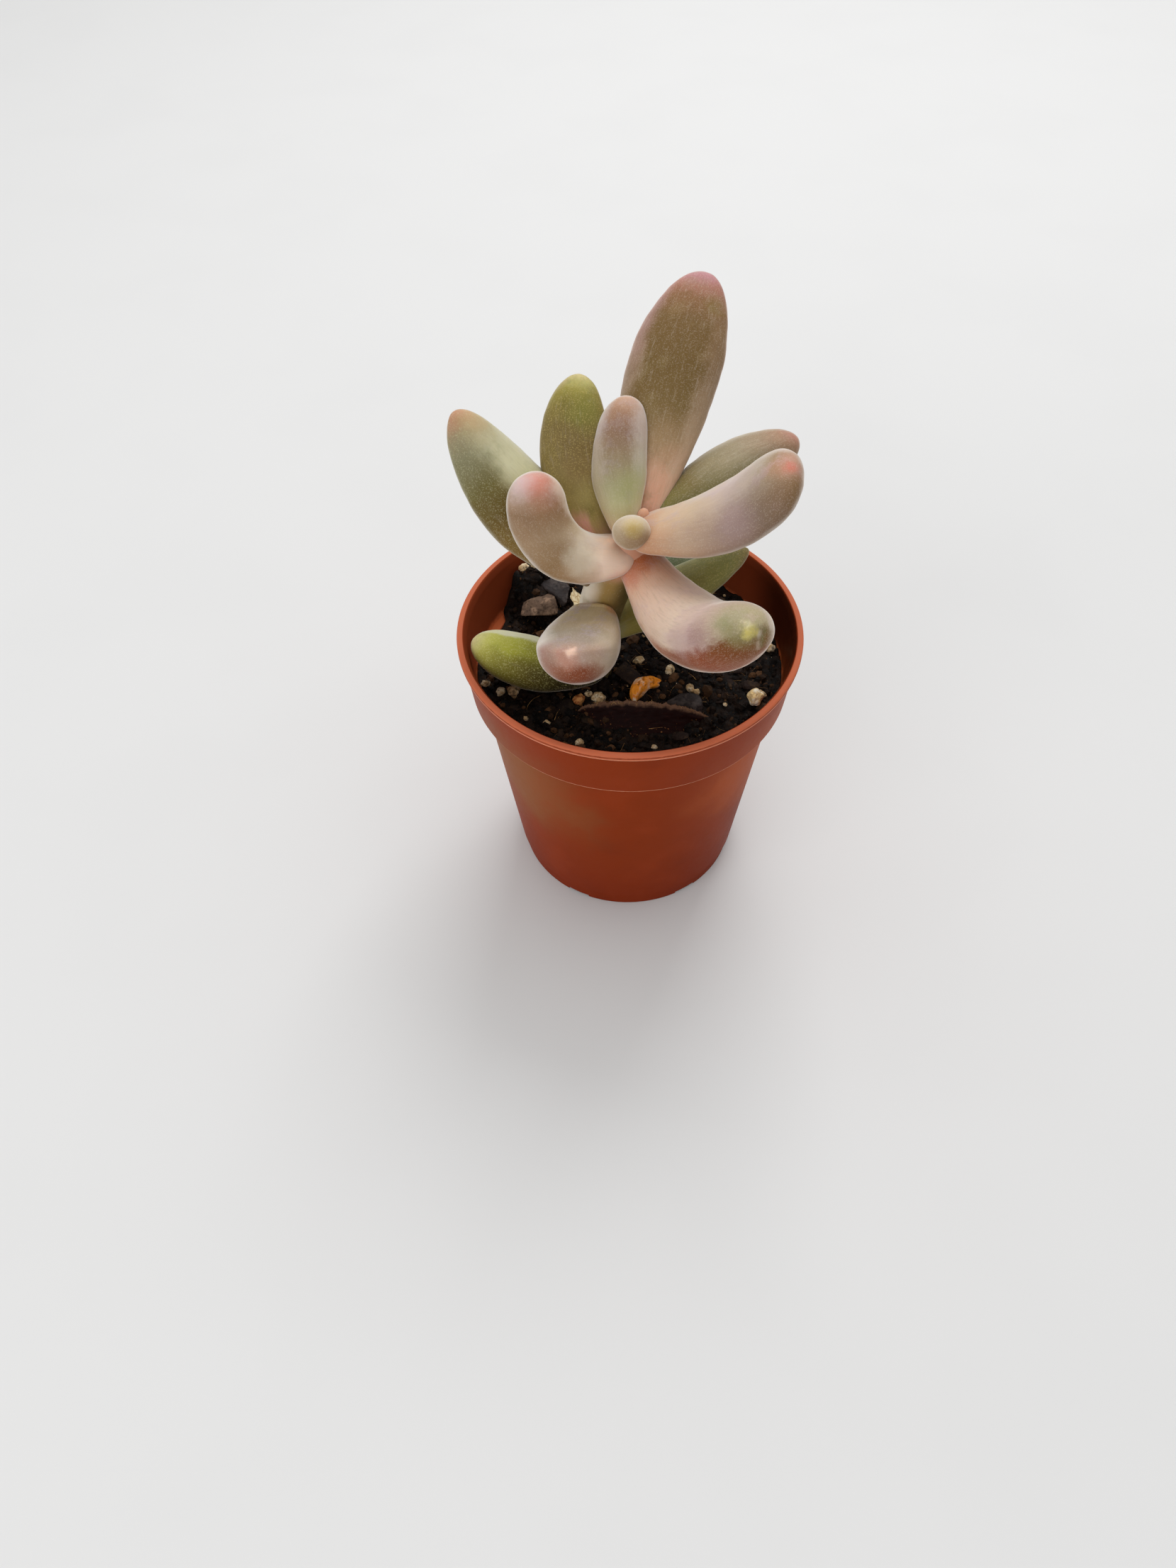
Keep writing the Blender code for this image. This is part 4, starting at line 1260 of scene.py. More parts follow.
@dataclass
class StrewnFibres(Scatter):
    """Coir and root fibres that lie on the soil, or stand from the torn edge of the bark."""

    thickness: float = 0.009     # radius as a share of the length
    rarity: float = 1.8
    tilt: tuple[float, float] = (0.4, 0.35)

    def forms(self, rule: Rule) -> list[Socket]:
        """Add three bowed threads.

        Args:
            rule: the rule that strews them.

        Returns:
            The geometry of each.
        """
        radius = rule.given("Thickness", self.thickness)
        section = rule.add("GeometryNodeCurvePrimitiveCircle", {"Resolution": 4, "Radius": radius})
        forms = []
        for bow, lift in ((0.3, 0.12), (-0.2, 0.2), (0.08, 0.3)):
            line = rule.add("GeometryNodeCurveQuadraticBezier", {
                "Resolution": 6, "Start": (-0.5, 0.0, 0.0), "Middle": (0.0, bow, lift),
                "End": (0.5, 0.1 * bow, 0.02)})
            forms.append(rule.add("GeometryNodeCurveToMesh", {"Curve": line, "Profile Curve": section,
                                                              "Fill Caps": True}))
        return forms

    def build(self, bed: bpy.types.Mesh) -> bpy.types.Object:
        """Strew the fibres over a sheet and show them."""
        return self.strew(bed, self.rarity, self.tilt)


class Break(Enum):
    """How a stone's surface came about."""

    SPLIT = "split along planes"
    PITTED = "frothed, with open pits"


@dataclass(frozen=True)
class Stone:
    """A stone in the soil: centre and semi-axes in millimetres, and its turns in degrees."""

    name: str
    centre: Point
    axes: Point
    turn: float
    tilt: float
    surface: Break
    detail: int = 5
    bow: float = 0.0   # how far its ends bend back, in millimetres
    planes: int = 15           # how many a split stone has
    crispness: float = 16.0    # how crisp the edges between them are
    crease: float = 28.0       # an edge sharper than this is shaded sharp
    chipping: float = 0.03     # what follows is a share of the stone's size
    lumps: float = 0.28
    pit_depth: float = 0.15

    def reach(self, direction: Vector, planes: Sequence[tuple[Vector, float]]) -> float:
        """Give the surface's distance along a direction.

        Args:
            direction: where to look from the stone's centre.
            planes: the normal and the depth of each plane along which a split stone broke.

        Returns:
            The distance as a share of the stone's semi-axes.
        """
        if self.surface is Break.SPLIT:
            total = sum((max(0.0, direction.dot(normal)) / depth) ** self.crispness
                        for normal, depth in planes)
            return total ** (-1.0 / self.crispness) * (1.0 + self.chipping * noise.noise(direction * 6.0))
        where = direction * 1.5 + Vector(self.centre)
        lumps = self.lumps * noise.noise(where)
        nearest = noise.voronoi(where * 2.4)[0][0]
        pit = self.pit_depth * eased((0.34 - nearest) / 0.2)
        return 1.0 + lumps - pit + self.chipping * noise.noise(direction * 9.0)

    def build_into(self, bm: bmesh.types.BMesh) -> None:
        """Add the stone to a mesh.

        Args:
            bm: the mesh.
        """
        draw = random.Random(self.name)
        planes = []
        while len(planes) < self.planes:
            normal = Vector([draw.uniform(-1.0, 1.0) for _ in range(3)])
            if 0.2 < normal.length < 1.0:
                planes.append((normal.normalized(), draw.uniform(0.74, 0.98)))
        made = bmesh.ops.create_icosphere(bm, subdivisions=self.detail, radius=1.0)["verts"]
        turn = Matrix.Rotation(math.radians(self.turn), 3, "Z")
        tilt = Matrix.Rotation(-math.radians(self.tilt), 3, "Y")
        for vert in made:
            reach = self.reach(vert.co.normalized(), planes)
            point = Vector([vert.co[i] * self.axes[i] * MM * reach for i in range(3)])
            point.y += self.bow * MM * (0.4 - (vert.co.x * reach) ** 2)
            vert.co = turn @ (tilt @ point) + Vector(self.centre) * MM

    def build(self, finish: Material, slot: str) -> bpy.types.Object:
        """Build the stone and show it.

        Args:
            finish: its material.
            slot: its material slot in the record.

        Returns:
            The piece.
        """
        bm = bmesh.new()
        self.build_into(bm)
        mesh = close_mesh(self.name, bm, finish)
        if self.surface is Break.SPLIT:
            mesh.set_sharp_from_angle(angle=math.radians(self.crease))
        return show_piece(self.name + "_worn", mesh, slot, self.name)


STONES = (
    (Stone("grey_stone", (-14.2, 11.2, 44.6), (3.2, 2.2, 1.6), -52, 6, Break.SPLIT), GREY_FLINT,
     "grey_stone"),
    (Stone("slate_stone", (-12.8, 15.4, 45.3), (3.2, 2.2, 1.6), -30, 6, Break.SPLIT), SLATE, "slate"),
    (Stone("orange_pumice", (1.9, -6.9, 43.0), (2.9, 1.25, 1.4), 42, 0, Break.PITTED, bow=1.3), ORANGE_PUMICE,
     "orange_pumice"),
    (Stone("cream_pumice", (19.6, -9.6, 43.0), (1.5, 1.15, 1.3), 60, 0, Break.PITTED), CREAM_PUMICE,
     "cream_pumice"),
    (Stone("slate_chip", (9.0, -10.2, 42.6), (2.8, 1.8, 1.1), -25, 8, Break.SPLIT), SLATE, "slate"),
    (Stone("brown_chip", (-0.6, -3.2, 42.7), (2.5, 1.3, 1.0), -65, 5, Break.SPLIT), DARK_WOOD, "dark_bark"),
)

# Single pale grains of pumice: x, y and radius in millimetres
PALE_GRAINS = (
    (-23.4, -4.3, 0.8), (-20.9, -6.2, 0.9), (-18.7, -6.3, 1.2), (-16.7, -12.1, 0.45),
    (-13.5, -13.2, 0.6), (-8.4, -17.6, 0.8), (-5.2, -8.3, 1.4), (-6.9, -7.0, 0.8), (1.6, 0.0, 0.9),
    (6.6, -2.2, 1.0), (9.6, -6.3, 0.8), (10.6, -7.1, 0.6), (10.4, -8.7, 0.6), (9.0, -9.4, 0.5),
    (14.9, -9.9, 0.4), (23.4, 2.4, 0.9), (-17.2, 17.2, 0.9),
    (-15.4, 18.0, 0.8), (20.8, -8.4, 0.8), (3.2, -18.6, 0.5), (17.5, 6.0, 0.9), (4.0, 14.0, 1.1),
)
RUSTY_GRAINS = ((-10.3, 17.6, 1.1), (-8.3, -8.3, 1.1))


@dataclass
class Stem:
    """The stem, from below the soil up to the growing point."""

    line: tuple[Point, ...] = (     # in millimetres
        (-6.0, -1.5, 33.0), (-6.0, -1.5, 41.0), (-5.4, -1.6, 49.0), (-4.5, -1.8, 56.0), (-3.0, -1.8, 61.5),
        (-1.0, -1.6, 65.8), (0.3, -1.4, 68.6))
    radii: tuple[float, ...] = (2.9, 3.0, 3.2, 3.4, 3.6, 3.6, 2.4)     # in millimetres
    dome: float = 0.9 * MM
    rings: int = 110
    sides: int = 56
    waves: float = 2.4 * MM
    wave_height: float = 0.12 * MM

    def build(self) -> bpy.types.Object:
        """Build the stem and show it.

        Returns:
            The piece.
        """
        bm = bmesh.new()
        points = [Vector(point) * MM for point in self.line]
        rings = []
        for k in range(self.rings):
            place = k / (self.rings - 1)
            point = curve_point(points, place)
            above = curve_point(points, min(1.0, place + 0.01))
            ahead = above - curve_point(points, max(0.0, place - 0.01))
            turn = Vector((0.0, 0.0, 1.0)).rotation_difference(ahead)
            radius = curve_point(self.radii, place) * MM
            ring = []
            for i in range(self.sides):
                angle = 2.0 * math.pi * i / self.sides
                spoke = Vector((math.cos(angle), math.sin(angle), 0.0))
                spoke.rotate(turn)
                wave = self.wave_height * noise.noise((point + spoke * radius) / self.waves)
                ring.append(bm.verts.new(point + spoke * (radius + wave)))
            rings.append(ring)
        tip = (points[-1] - points[-2]).normalized()
        skin_rings(bm, rings, bm.verts.new(points[0]), bm.verts.new(points[-1] + tip * self.dome))
        mesh = close_mesh("stem_skin", bm, StemSkin().material())
        return show_piece("green_stem", mesh, "stem_skin", "stem")


@dataclass(frozen=True)
class Swell:
    """A rise, or a dent if its height is negative, on a leaf's surface."""

    place: float
    around: float
    radius: float      # in millimetres
    height: float      # in millimetres


@dataclass(frozen=True)
class RootEnd:
    """How a leaf ends where it meets the stem."""

    place: float = -0.05    # where it ends, along the leaf
    depth: float = 2.6      # over how many millimetres it rounds off
    blunt: float = 1.0      # 1 for a round end, and less for a blunter one
    lean: float = 0.0       # how far its upper edge leans to the tip, for each unit of height
    lip: float = 0.0        # how far its upper rim stands up, in millimetres


@dataclass(frozen=True)
class FatLeaf:
    """One fat leaf, given by its midline and by its widest section, with sizes in millimetres."""

    name: str
    root: Point
    heading: float
    rise: float
    sweep: float
    bend: float
    length: float
    width: float
    thickness: float
    widest: float
    neck: float
    fullness: float
    roll: float
    slot: str
    skin: LeafSkin
    swells: tuple[Swell, ...] = ()
    end: RootEnd = RootEnd()
    brow: tuple[float, float] | None = None     # height of a flat upper face over the midline, root and tip
    waves: tuple[tuple[float, float], ...] = ((3.4 * MM, 0.10 * MM), (1.5 * MM, 0.05 * MM))   # size, height
    rings: int = 100
    end_rings: int = 16
    sides: int = 72

    def facing(self, place: float) -> tuple[Vector, Vector, Vector]:
        """Give the leaf's own axes at a place.

        Args:
            place: 0 at the root and 1 at the tip.

        Returns:
            The directions along the leaf, to its side and out of its upper face.
        """
        turn = eased(place)
        heading = math.radians(self.heading + self.sweep * turn)
        rise = math.radians(self.rise + self.bend * turn)
        roll = math.radians(self.roll)
        along = Vector((math.cos(heading) * math.cos(rise), math.sin(heading) * math.cos(rise),
                        math.sin(rise)))
        normal = Vector((-math.cos(heading) * math.sin(rise), -math.sin(heading) * math.sin(rise),
                         math.cos(rise)))
        across = along.cross(normal)
        side = across * math.cos(roll) + normal * math.sin(roll)
        face = normal * math.cos(roll) - across * math.sin(roll)
        return along, side, face

    def midline(self, place: float, steps: int = 200) -> Vector:
        """Give the midline's point at a place.

        Args:
            place: 0 at the root and 1 at the tip. It may lie a little before the root.
            steps: how many steps the whole midline is walked in.

        Returns:
            The point.
        """
        here = Vector(self.root) * MM
        if place < 0.0:
            return here + self.facing(0.0)[0] * (self.length * MM * place)
        count = max(1, round(place * steps))
        for k in range(count):
            here = here + self.facing((k + 0.5) * place / count)[0] * (self.length * MM * place / count)
        return here

    def swelling(self, place: float, widest: float, neck: float) -> float:
        """Give the leaf's half size at a place.

        Args:
            place: 0 at the root and 1 at the tip.
            widest: the place where it is widest.
            neck: its size at the root, as a share of its greatest.

        Returns:
            The half size as a share of its greatest.
        """
        if place < widest:
            return neck + (1.0 - neck) * math.sin(0.5 * math.pi * max(0.0, place) / widest) ** 1.3
        closing = (place - widest) / (1.0 - widest)
        return math.sqrt(max(0.0, 1.0 - closing ** (2.0 * self.fullness)))

    def section(self, place: float, angle: float) -> tuple[float, float]:
        """Give a point of the section at a place.

        Args:
            place: 0 at the root and 1 at the tip.
            angle: 0 at its side and a quarter turn at the middle of its upper face.

        Returns:
            How far the point lies to the side of the midline, and how far above it.
        """
        over, up = math.cos(angle), math.sin(angle)
        half_width = 0.5 * self.width * MM * self.swelling(place, self.widest, self.neck)
        half_depth = 0.5 * self.thickness * MM * self.swelling(place, 0.5, 0.5)
        into_end = (place - self.end.place) * self.length / self.end.depth
        if into_end < 1.0:
            rounded = math.sqrt(max(0.0, 1.0 - (1.0 - max(0.0, into_end)) ** 2)) ** self.end.blunt
            half_width *= rounded
            half_depth *= rounded
        if self.brow is None or up <= 0.0:
            return half_width * over, half_depth * up
        # a flat upper face has a squarer section, and it runs straight from the root to the tip
        low, high = self.brow
        closing = math.sqrt(max(0.0, 1.0 - max(0.0, (place - 0.5) / 0.5) ** 2.2))
        top = (low + (high - low) * place) * MM * closing
        square = 0.55 + 0.45 * eased((place - 0.4) / 0.55)
        if into_end < 1.0:
            top = top * rounded + self.end.lip * MM * math.sin(math.pi * max(0.0, into_end))
        return half_width * math.copysign(abs(over) ** square, over), top * up ** square

    def surface(self, place: float, angle: float) -> Vector:
        """Give a point of the smooth surface.

        Args:
            place: 0 at the root and 1 at the tip.
            angle: 0 at its side and a quarter turn at the middle of its upper face.

        Returns:
            The point.
        """
        along, side, face = self.facing(place)
        across, above = self.section(place, angle)
        lean = self.end.lean * above * eased(1.0 - 2.0 * place)
        return self.midline(place) + side * across + face * above + along * lean

    def build(self) -> bpy.types.Object:
        """Build the leaf, with what its skin reads from each point, and show it.

        Returns:
            The piece.
        """
        bm = bmesh.new()
        layers = [bm.verts.layers.float.new(name) for name in ("along", "upper", "aside")]
        rises = [(self.surface(s.place, math.radians(s.around)), s.radius * MM, s.height * MM)
                 for s in self.swells]

        def place_vert(point: Vector, out: Vector, marks: tuple[float, float, float]) -> bmesh.types.BMVert:
            """Add a point, moved out of the smooth form by the leaf's waves and swells.

            Args:
                point: its place on the smooth form.
                out: the direction out of the leaf.
                marks: its values for the layers.

            Returns:
                The point.
            """
            shift = sum(height * noise.noise(point / size) for size, height in self.waves)
            shift += sum(h * math.exp(-((point - c).length / r) ** 2) for c, r, h in rises)
            vert = bm.verts.new(point + out * shift)
            for layer, mark in zip(layers, marks):
                vert[layer] = mark
            return vert

        rounding = self.end.depth / self.length
        places = [self.end.place + rounding * (1.0 - math.cos(0.5 * math.pi * (k + 0.5) / self.end_rings))
                  for k in range(self.end_rings)]
        start = self.end.place + rounding
        places += [1.0 - (1.0 - start) * (1.0 - k / self.rings) ** 1.7 for k in range(self.rings)]
        rings = []
        for place in places:
            middle = self.midline(place)
            along, side, face = self.facing(place)
            half_width, half_depth = self.section(place, 0.0)[0], self.section(place, 1.5 * math.pi)[1]
            tipped = eased((place - 0.9) / 0.1)
            closing = self.swelling(place, self.widest, self.neck) if place > self.widest else 1.0
            fade = min(1.0, closing / 0.8)
            lean = self.end.lean * eased(1.0 - 2.0 * place)
            ring = []
            for i in range(self.sides):
                angle = 2.0 * math.pi * i / self.sides
                over, up = math.cos(angle), math.sin(angle)
                out = (side * over * -half_depth + face * up * half_width).normalized()
                out = (out * (1.0 - tipped) + along * tipped).normalized()
                across, above = self.section(place, angle)
                ring.append(place_vert(middle + side * across + face * above + along * above * lean, out,
                                       (max(0.0, place), up * fade, over * fade)))
            rings.append(ring)
        first, last = self.facing(0.0)[0], self.facing(1.0)[0]
        skin_rings(bm, rings, place_vert(self.midline(self.end.place), -first, (0.0, 0.0, 0.0)),
                   place_vert(self.midline(1.0), last, (1.0, 0.0, 0.0)))
        mesh = close_mesh(self.name, bm, self.skin.material(self))
        return show_piece(self.name + "_flesh", mesh, self.slot, self.name)


# each leaf's colours are its own colours with painted light and painted shade laid in
LEAVES = (
    FatLeaf(
        "bud_leaf", (-0.2, -1.3, 69.5), -88, 42, 0, 5, 6.3, 5.6, 5.0, 0.5, 0.7, 1.0, 0, "young_leaf_skin",
        LeafSkin(
            upper=((0.0, "B7A488"), (0.6, "CBBBA2"), (0.86, "D0BEA3"), (0.965, "C9B280"), (1.0, "BFA463")),
            lower=((0.0, "A08560"), (0.6, "A28C70"), (0.9, "A08668"), (1.0, "B0965E")),
            near=Flank(((0.0, "B6A286"), (1.0, "B6A286")), 0.5),
            mottle_share=0.15, streaks=0.04),
        end=RootEnd(depth=1.2)),
    FatLeaf(
        "tiny_leaf", (1.4, 0.3, 69.6), 60, 62, 0, 0, 2.7, 1.9, 1.7, 0.5, 0.8, 1.1, 0, "pink_leaf_skin",
        LeafSkin(
            upper=((0.0, "D08A6C"), (0.5, "DDA484"), (1.0, "E0A88A")),
            lower=((0.0, "C9806A"), (1.0, "DE9C86")), bloom="E8B8A4", mottle_share=0.1, streaks=0.04),
        end=RootEnd(depth=0.6)),
    FatLeaf(
        "leaf_inner_back", (-0.9, -0.1, 68.7), 101, 46, -30, -8, 20.0, 8.1, 6.2, 0.46, 0.48, 1.7, 4,
        "lilac_leaf_skin",
        LeafSkin(
            upper=((0.0, "C89A7C"), (0.1, "BDB084"), (0.2, "BDB98E"), (0.32, "ACA680"), (0.5, "9C8A6C"),
                (0.7, "947660"), (0.84, "AA846A"), (1.0, "CEA68E")),
            lower=((0.0, "B58A70"), (0.5, "A6967C"), (1.0, "B29484")),
            near=Flank(((0.0, "D8CBAA"), (0.2, "DAD4B2"), (0.45, "C8C4AC"), (0.75, "CBBBB0"),
                (1.0, "D2C0B8")), 0.8, 0.3),
            far=Flank(((0.0, "C8AE90"), (0.2, "BDAF8B"), (0.5, "C6B8A6"), (0.75, "CFC0BC"),
                (1.0, "D6C9C4")), 0.75, 0.3),
            bloom="E4DED8", bloom_sheen_share=0.7, mottle="B3A4A8", streaks=0.08,
            patches=(Patch(0.3, 58, 3.2, "A6AA6C", 0.45), Patch(0.72, 78, 3.4, "876450", 0.2)))),
    FatLeaf(
        "leaf_right", (2.5, -1.5, 70.0), -17, 15, 13, 40, 25.2, 14.0, 7.6, 0.66, 0.7, 1.7, 2,
        "beige_leaf_skin",
        LeafSkin(
            upper=((0.0, "D29E7A"), (0.1, "D6B697"), (0.3, "CFB79C"), (0.45, "CAB4A0"), (0.58, "C0ACA2"),
                (0.74, "B8A698"), (0.84, "AC9A84"), (0.92, "A38767"), (1.0, "B78D78")),
            lower=((0.0, "B07850"), (0.3, "A9876A"), (0.6, "8C705A"), (0.85, "7E644E"), (1.0, "98745C")),
            near=Flank(((0.0, "C48E6A"), (0.25, "BC9E84"), (0.5, "9E8476"), (0.75, "7C6450"),
                (1.0, "86674C")), 0.85, 0.0, 0.85),
            far=Flank(((0.0, "E6CFB6"), (0.5, "DCCFC4"), (1.0, "CFC6C0")), 0.6, 0.35),
            bloom="E2D9D0", bloom_sheen_share=0.45, mottle="C2ABB0", mottle_share=0.4, streaks=0.06,
            patches=(Patch(0.97, 75, 2.6, "C48E78", 0.45), Patch(0.95, 340, 2.3, "86683E", 0.5),
                Patch(0.985, 63, 1.3, "D8604A", 0.5, 1.2), Patch(0.55, 120, 4.0, "CDB3B6", 0.35),
                Patch(0.62, 35, 3.4, "B0959C", 0.3))),
        end=RootEnd(-0.09, 3.6, 0.7)),
    FatLeaf(
        "leaf_left_curled", (-1.6, -2.3, 66.8), 197, -2, -83, 94, 21.9, 9.1, 8.5, 0.63, 0.9, 1.65, 1,
        "beige_leaf_skin",
        LeafSkin(
            upper=((0.0, "E0B092"), (0.08, "E6C0A4"), (0.25, "D8C8B4"), (0.42, "BCA88C"), (0.6, "A4896A"),
                (0.78, "9C7A5A"), (0.9, "B4866C"), (1.0, "D89A88")),
            lower=((0.0, "D0A78F"), (0.19, "C2A286"), (0.31, "A48868"), (0.6, "94795A"), (0.8, "A4907E"),
                (1.0, "CBAAA2")),
            near=Flank(((0.0, "E8CDB5"), (0.7, "E4D2B8"), (1.0, "EBD8C8")), 0.6, 0.4),
            far=Flank(((0.0, "F0D0BA"), (0.16, "F0D6C2"), (0.28, "AE8C6A"), (0.42, "8E6E48"),
                (0.6, "A08466"), (0.78, "8E7054"), (0.9, "B29882"), (1.0, "D4B6AC")), 0.85, 0.1, 0.8),
            bloom="E6E0D8", bloom_sheen_share=0.75, mottle="C6B0A6", mottle_share=0.3, streaks=0.05,
            # the first patch here is a painted highlight on the face
            patches=(Patch(0.3, 140, 2.8, "E6DDC8", 0.5), Patch(0.99, 112, 2.5, "D88474", 0.5, 1.3),
                Patch(0.97, 172, 2.2, "E0CED0", 0.5), Patch(0.07, 205, 1.8, "E0A090", 0.45))),
        end=RootEnd(-0.1, 3.7)),
    FatLeaf(
        "leaf_front_right", (1.6, -3.0, 64.9), -60, -22, 5, 78, 29.2, 13.1, 9.9, 0.5, 0.62, 2.05, 12,
        "rose_leaf_skin",
        LeafSkin(
            upper=((0.0, "C6825A"), (0.08, "DCAE92"), (0.24, "DAB9A3"), (0.55, "D8C0AC"), (0.76, "C9AEA4"),
                (0.9, "B8A28E"), (1.0, "B3A680")),
            lower=((0.0, "C08E72"), (0.3, "C49A7C"), (0.46, "A66C50"), (0.6, "8F5640"), (0.8, "8A482C"),
                (0.93, "7A461C"), (1.0, "8C8256")),
            far=Flank(((0.0, "F4E2CE"), (0.3, "EBDACB"), (0.7, "E0CFC2"), (1.0, "D8CCC0")), 0.6, 0.4),
            turnover=(-0.36, -0.02), bloom="E8DCD0", bloom_sheen_share=0.6, rim=0.78, mottle="C9A8A8",
            mottle_share=0.35, streaks=0.12,
            patches=(Patch(0.02, 60, 2.6, "B25A2C", 0.6), Patch(0.07, 20, 1.9, "C4765E", 0.55),
                Patch(0.82, 8, 2.6, "9C7674", 0.55), Patch(0.68, 8, 2.6, "B89A96", 0.45),
                Patch(0.98, 40, 3.0, "9A986E", 0.55), Patch(0.96, 20, 1.5, "84865A", 0.4, 1.2),
                Patch(0.97, 330, 1.8, "8E8458", 0.5), Patch(0.994, 300, 1.3, "DECE74", 0.85),
                # the first patch here is a painted highlight beside the nub
                Patch(0.999, 0, 0.9, "E8DEB6", 0.7), Patch(0.985, 257, 0.7, "E4D8C4", 0.35),
                Patch(0.95, 262, 0.7, "DCC8B4", 0.35), Patch(0.98, 226, 0.6, "6E7446", 0.5),
                Patch(0.965, 243, 0.55, "6E7446", 0.5), Patch(0.95, 250, 0.5, "6E6A40", 0.45))),
        swells=(Swell(0.994, 300, 1.2, 0.45), Swell(0.972, 236, 0.9, -0.3), Swell(1.0, 0, 1.6, 0.4)),
        end=RootEnd(-0.1, 2.4, 0.8)),
    FatLeaf(
        "leaf_tall_back", (0.9, 2.2, 66.9), 73, 44, -8, -9, 39.7, 14.3, 8.0, 0.63, 0.41, 0.9, 1,
        "olive_mauve_leaf_skin",
        LeafSkin(
            upper=((0.0, "DEA090"), (0.1, "E2B098"), (0.2, "D6AA8E"), (0.32, "A68A66"), (0.46, "7C643A"),
                (0.6, "735A30"), (0.78, "7A5E36"), (0.87, "8E6644"), (0.93, "AE7868"), (0.97, "BC8488"),
                (1.0, "BE8890")),
            lower=((0.0, "B08068"), (0.5, "8E7860"), (1.0, "A88084")),
            near=Flank(((0.0, "EFCFBA"), (0.2, "E2C2AA"), (0.35, "CDB298"), (0.6, "A0846A"),
                (0.85, "8E6E4C"), (1.0, "C0888A")), 0.6, 0.55),
            far=Flank(((0.0, "D9B7A2"), (0.2, "C9A88E"), (0.45, "A99278"), (0.7, "B08C84"),
                (1.0, "C08E94")), 0.7, 0.45),
            bloom="CDB2A8", bloom_sheen_share=0.5, mottle="948058", mottle_share=0.3, streaks=0.12,
            patches=(Patch(0.86, 40, 2.2, "7E6E36", 0.4),))),
    FatLeaf(
        "leaf_right_back", (1.2, 1.4, 65.3), 28, 26, -8, -8, 28.4, 10.8, 8.6, 0.6, 0.43, 0.9, -4,
        "grey_green_leaf_skin",
        LeafSkin(
            upper=((0.0, "5A6432"), (0.12, "6C723E"), (0.24, "847E48"), (0.38, "84764C"), (0.52, "9A8D6C"),
                (0.66, "A29478"), (0.8, "A28B70"), (0.9, "A88468"), (0.96, "B07F6C"), (1.0, "B26E60")),
            lower=((0.0, "5E6236"), (0.5, "6A6442"), (1.0, "8E6450")),
            near=Flank(((0.0, "505828"), (0.25, "5E6030"), (0.45, "767048"), (0.7, "7C7354"),
                (0.85, "846E56"), (1.0, "997759")), 0.9, 0.0, 0.7),
            far=Flank(((0.0, "C8C6A4"), (0.5, "CCC4AE"), (1.0, "D0BCAA")), 0.55, 0.45),
            bloom="C4BCAC", bloom_sheen_share=0.5, mottle="8A8468", streaks=0.12)),
    FatLeaf(
        "leaf_left_back", (-3.6, 1.2, 64.4), 126, 45, -50, 3, 26.4, 10.7, 7.0, 0.5, 0.45, 1.15, 7,
        "olive_leaf_skin",
        LeafSkin(
            upper=((0.0, "D9A793"), (0.1, "C2A078"), (0.19, "AC9A5E"), (0.31, "A8985E"), (0.44, "978152"),
                (0.57, "806C42"), (0.7, "7C6A3E"), (0.81, "80753A"), (0.9, "9C9248"), (0.96, "BCB470"),
                (1.0, "D2C28C")),
            lower=((0.0, "7E7A3C"), (0.5, "6E6434"), (1.0, "8E8448")),
            near=Flank(((0.0, "CFA890"), (0.3, "8A7A48"), (1.0, "8F8448")), 0.4, 0.4),
            far=Flank(((0.0, "E6A898"), (0.21, "E8AEA0"), (0.28, "A8965E"), (0.5, "8C7A4A"),
                (0.7, "7E6C40"), (0.88, "928640"), (1.0, "C2B084")), 0.85, 0.22, 0.5),
            bloom="B4AA8C", bloom_sheen_share=0.4, mottle="74703A", mottle_share=0.35, streaks=0.1,
            flecks=Flecks.GOLDEN,
            patches=(Patch(0.5, 80, 3.2, "765E32", 0.35), Patch(0.78, 60, 3.2, "88883A", 0.35)))),
    FatLeaf(
        "leaf_far_left", (-2.6, 0.1, 60.4), 167, 31, -27, 21, 34.0, 14.6, 9.3, 0.5, 0.5, 0.68, -2,
        "sage_leaf_skin",
        LeafSkin(
            upper=((0.0, "D68E78"), (0.13, "CE907A"), (0.2, "B89670"), (0.35, "9A9462"), (0.5, "B2AE80"),
                (0.69, "D0CCA8"), (0.81, "C2BC9A"), (0.9, "B2A17A"), (0.96, "B28E66"), (1.0, "C08C70")),
            lower=((0.0, "6A4A2A"), (0.4, "6A4E24"), (0.55, "665222"), (0.68, "6A5E32"), (0.82, "7C7454"),
                (0.94, "94805E"), (1.0, "B88470")),
            near=Flank(((0.0, "DA9484"), (0.25, "D89484"), (0.36, "C8BEA2"), (0.8, "D6D2B8"),
                (1.0, "D6CEB5")), 0.75, 0.3),
            far=Flank(((0.0, "6B4A2C"), (0.3, "785A2C"), (0.44, "7A5E28"), (0.56, "624A0C"),
                (0.69, "685C28"), (0.81, "858060"), (0.9, "948A6C"), (1.0, "B08A6C")), 0.95, 0.0, 0.7),
            bloom="C4C3AC", bloom_sheen_share=0.4, mottle="8E9468", streaks=0.08, flecks=Flecks.SILVER,
            patches=(Patch(0.96, 168, 1.6, "C88C78", 0.25), Patch(0.94, 70, 2.6, "D6B68C", 0.35))),
        swells=(Swell(0.21, 42, 3.5, 0.9),)),
    FatLeaf(
        "leaf_front_stub", (-4.4, -3.0, 55.0), -110, 16, 5, 20, 19.4, 11.8, 11.8, 0.65, 0.5, 1.3, -10,
        "grey_lilac_leaf_skin",
        LeafSkin(
            upper=((0.0, "EADFCC"), (0.125, "E6DAC4"), (0.15, "B89E6C"), (0.24, "B4A27C"), (0.4, "B2A07C"),
                (0.56, "AE9A7A"), (0.72, "9A8C78"), (0.88, "A09082"), (1.0, "B89C8C")),
            lower=((0.0, "8A6A50"), (0.6, "90542E"), (0.8, "7A3014"), (0.92, "8A4628"), (1.0, "B07C66")),
            near=Flank(((0.0, "D8CCBE"), (0.8, "E6DED4"), (0.93, "A88478"), (1.0, "A27866")), 0.85, 0.28),
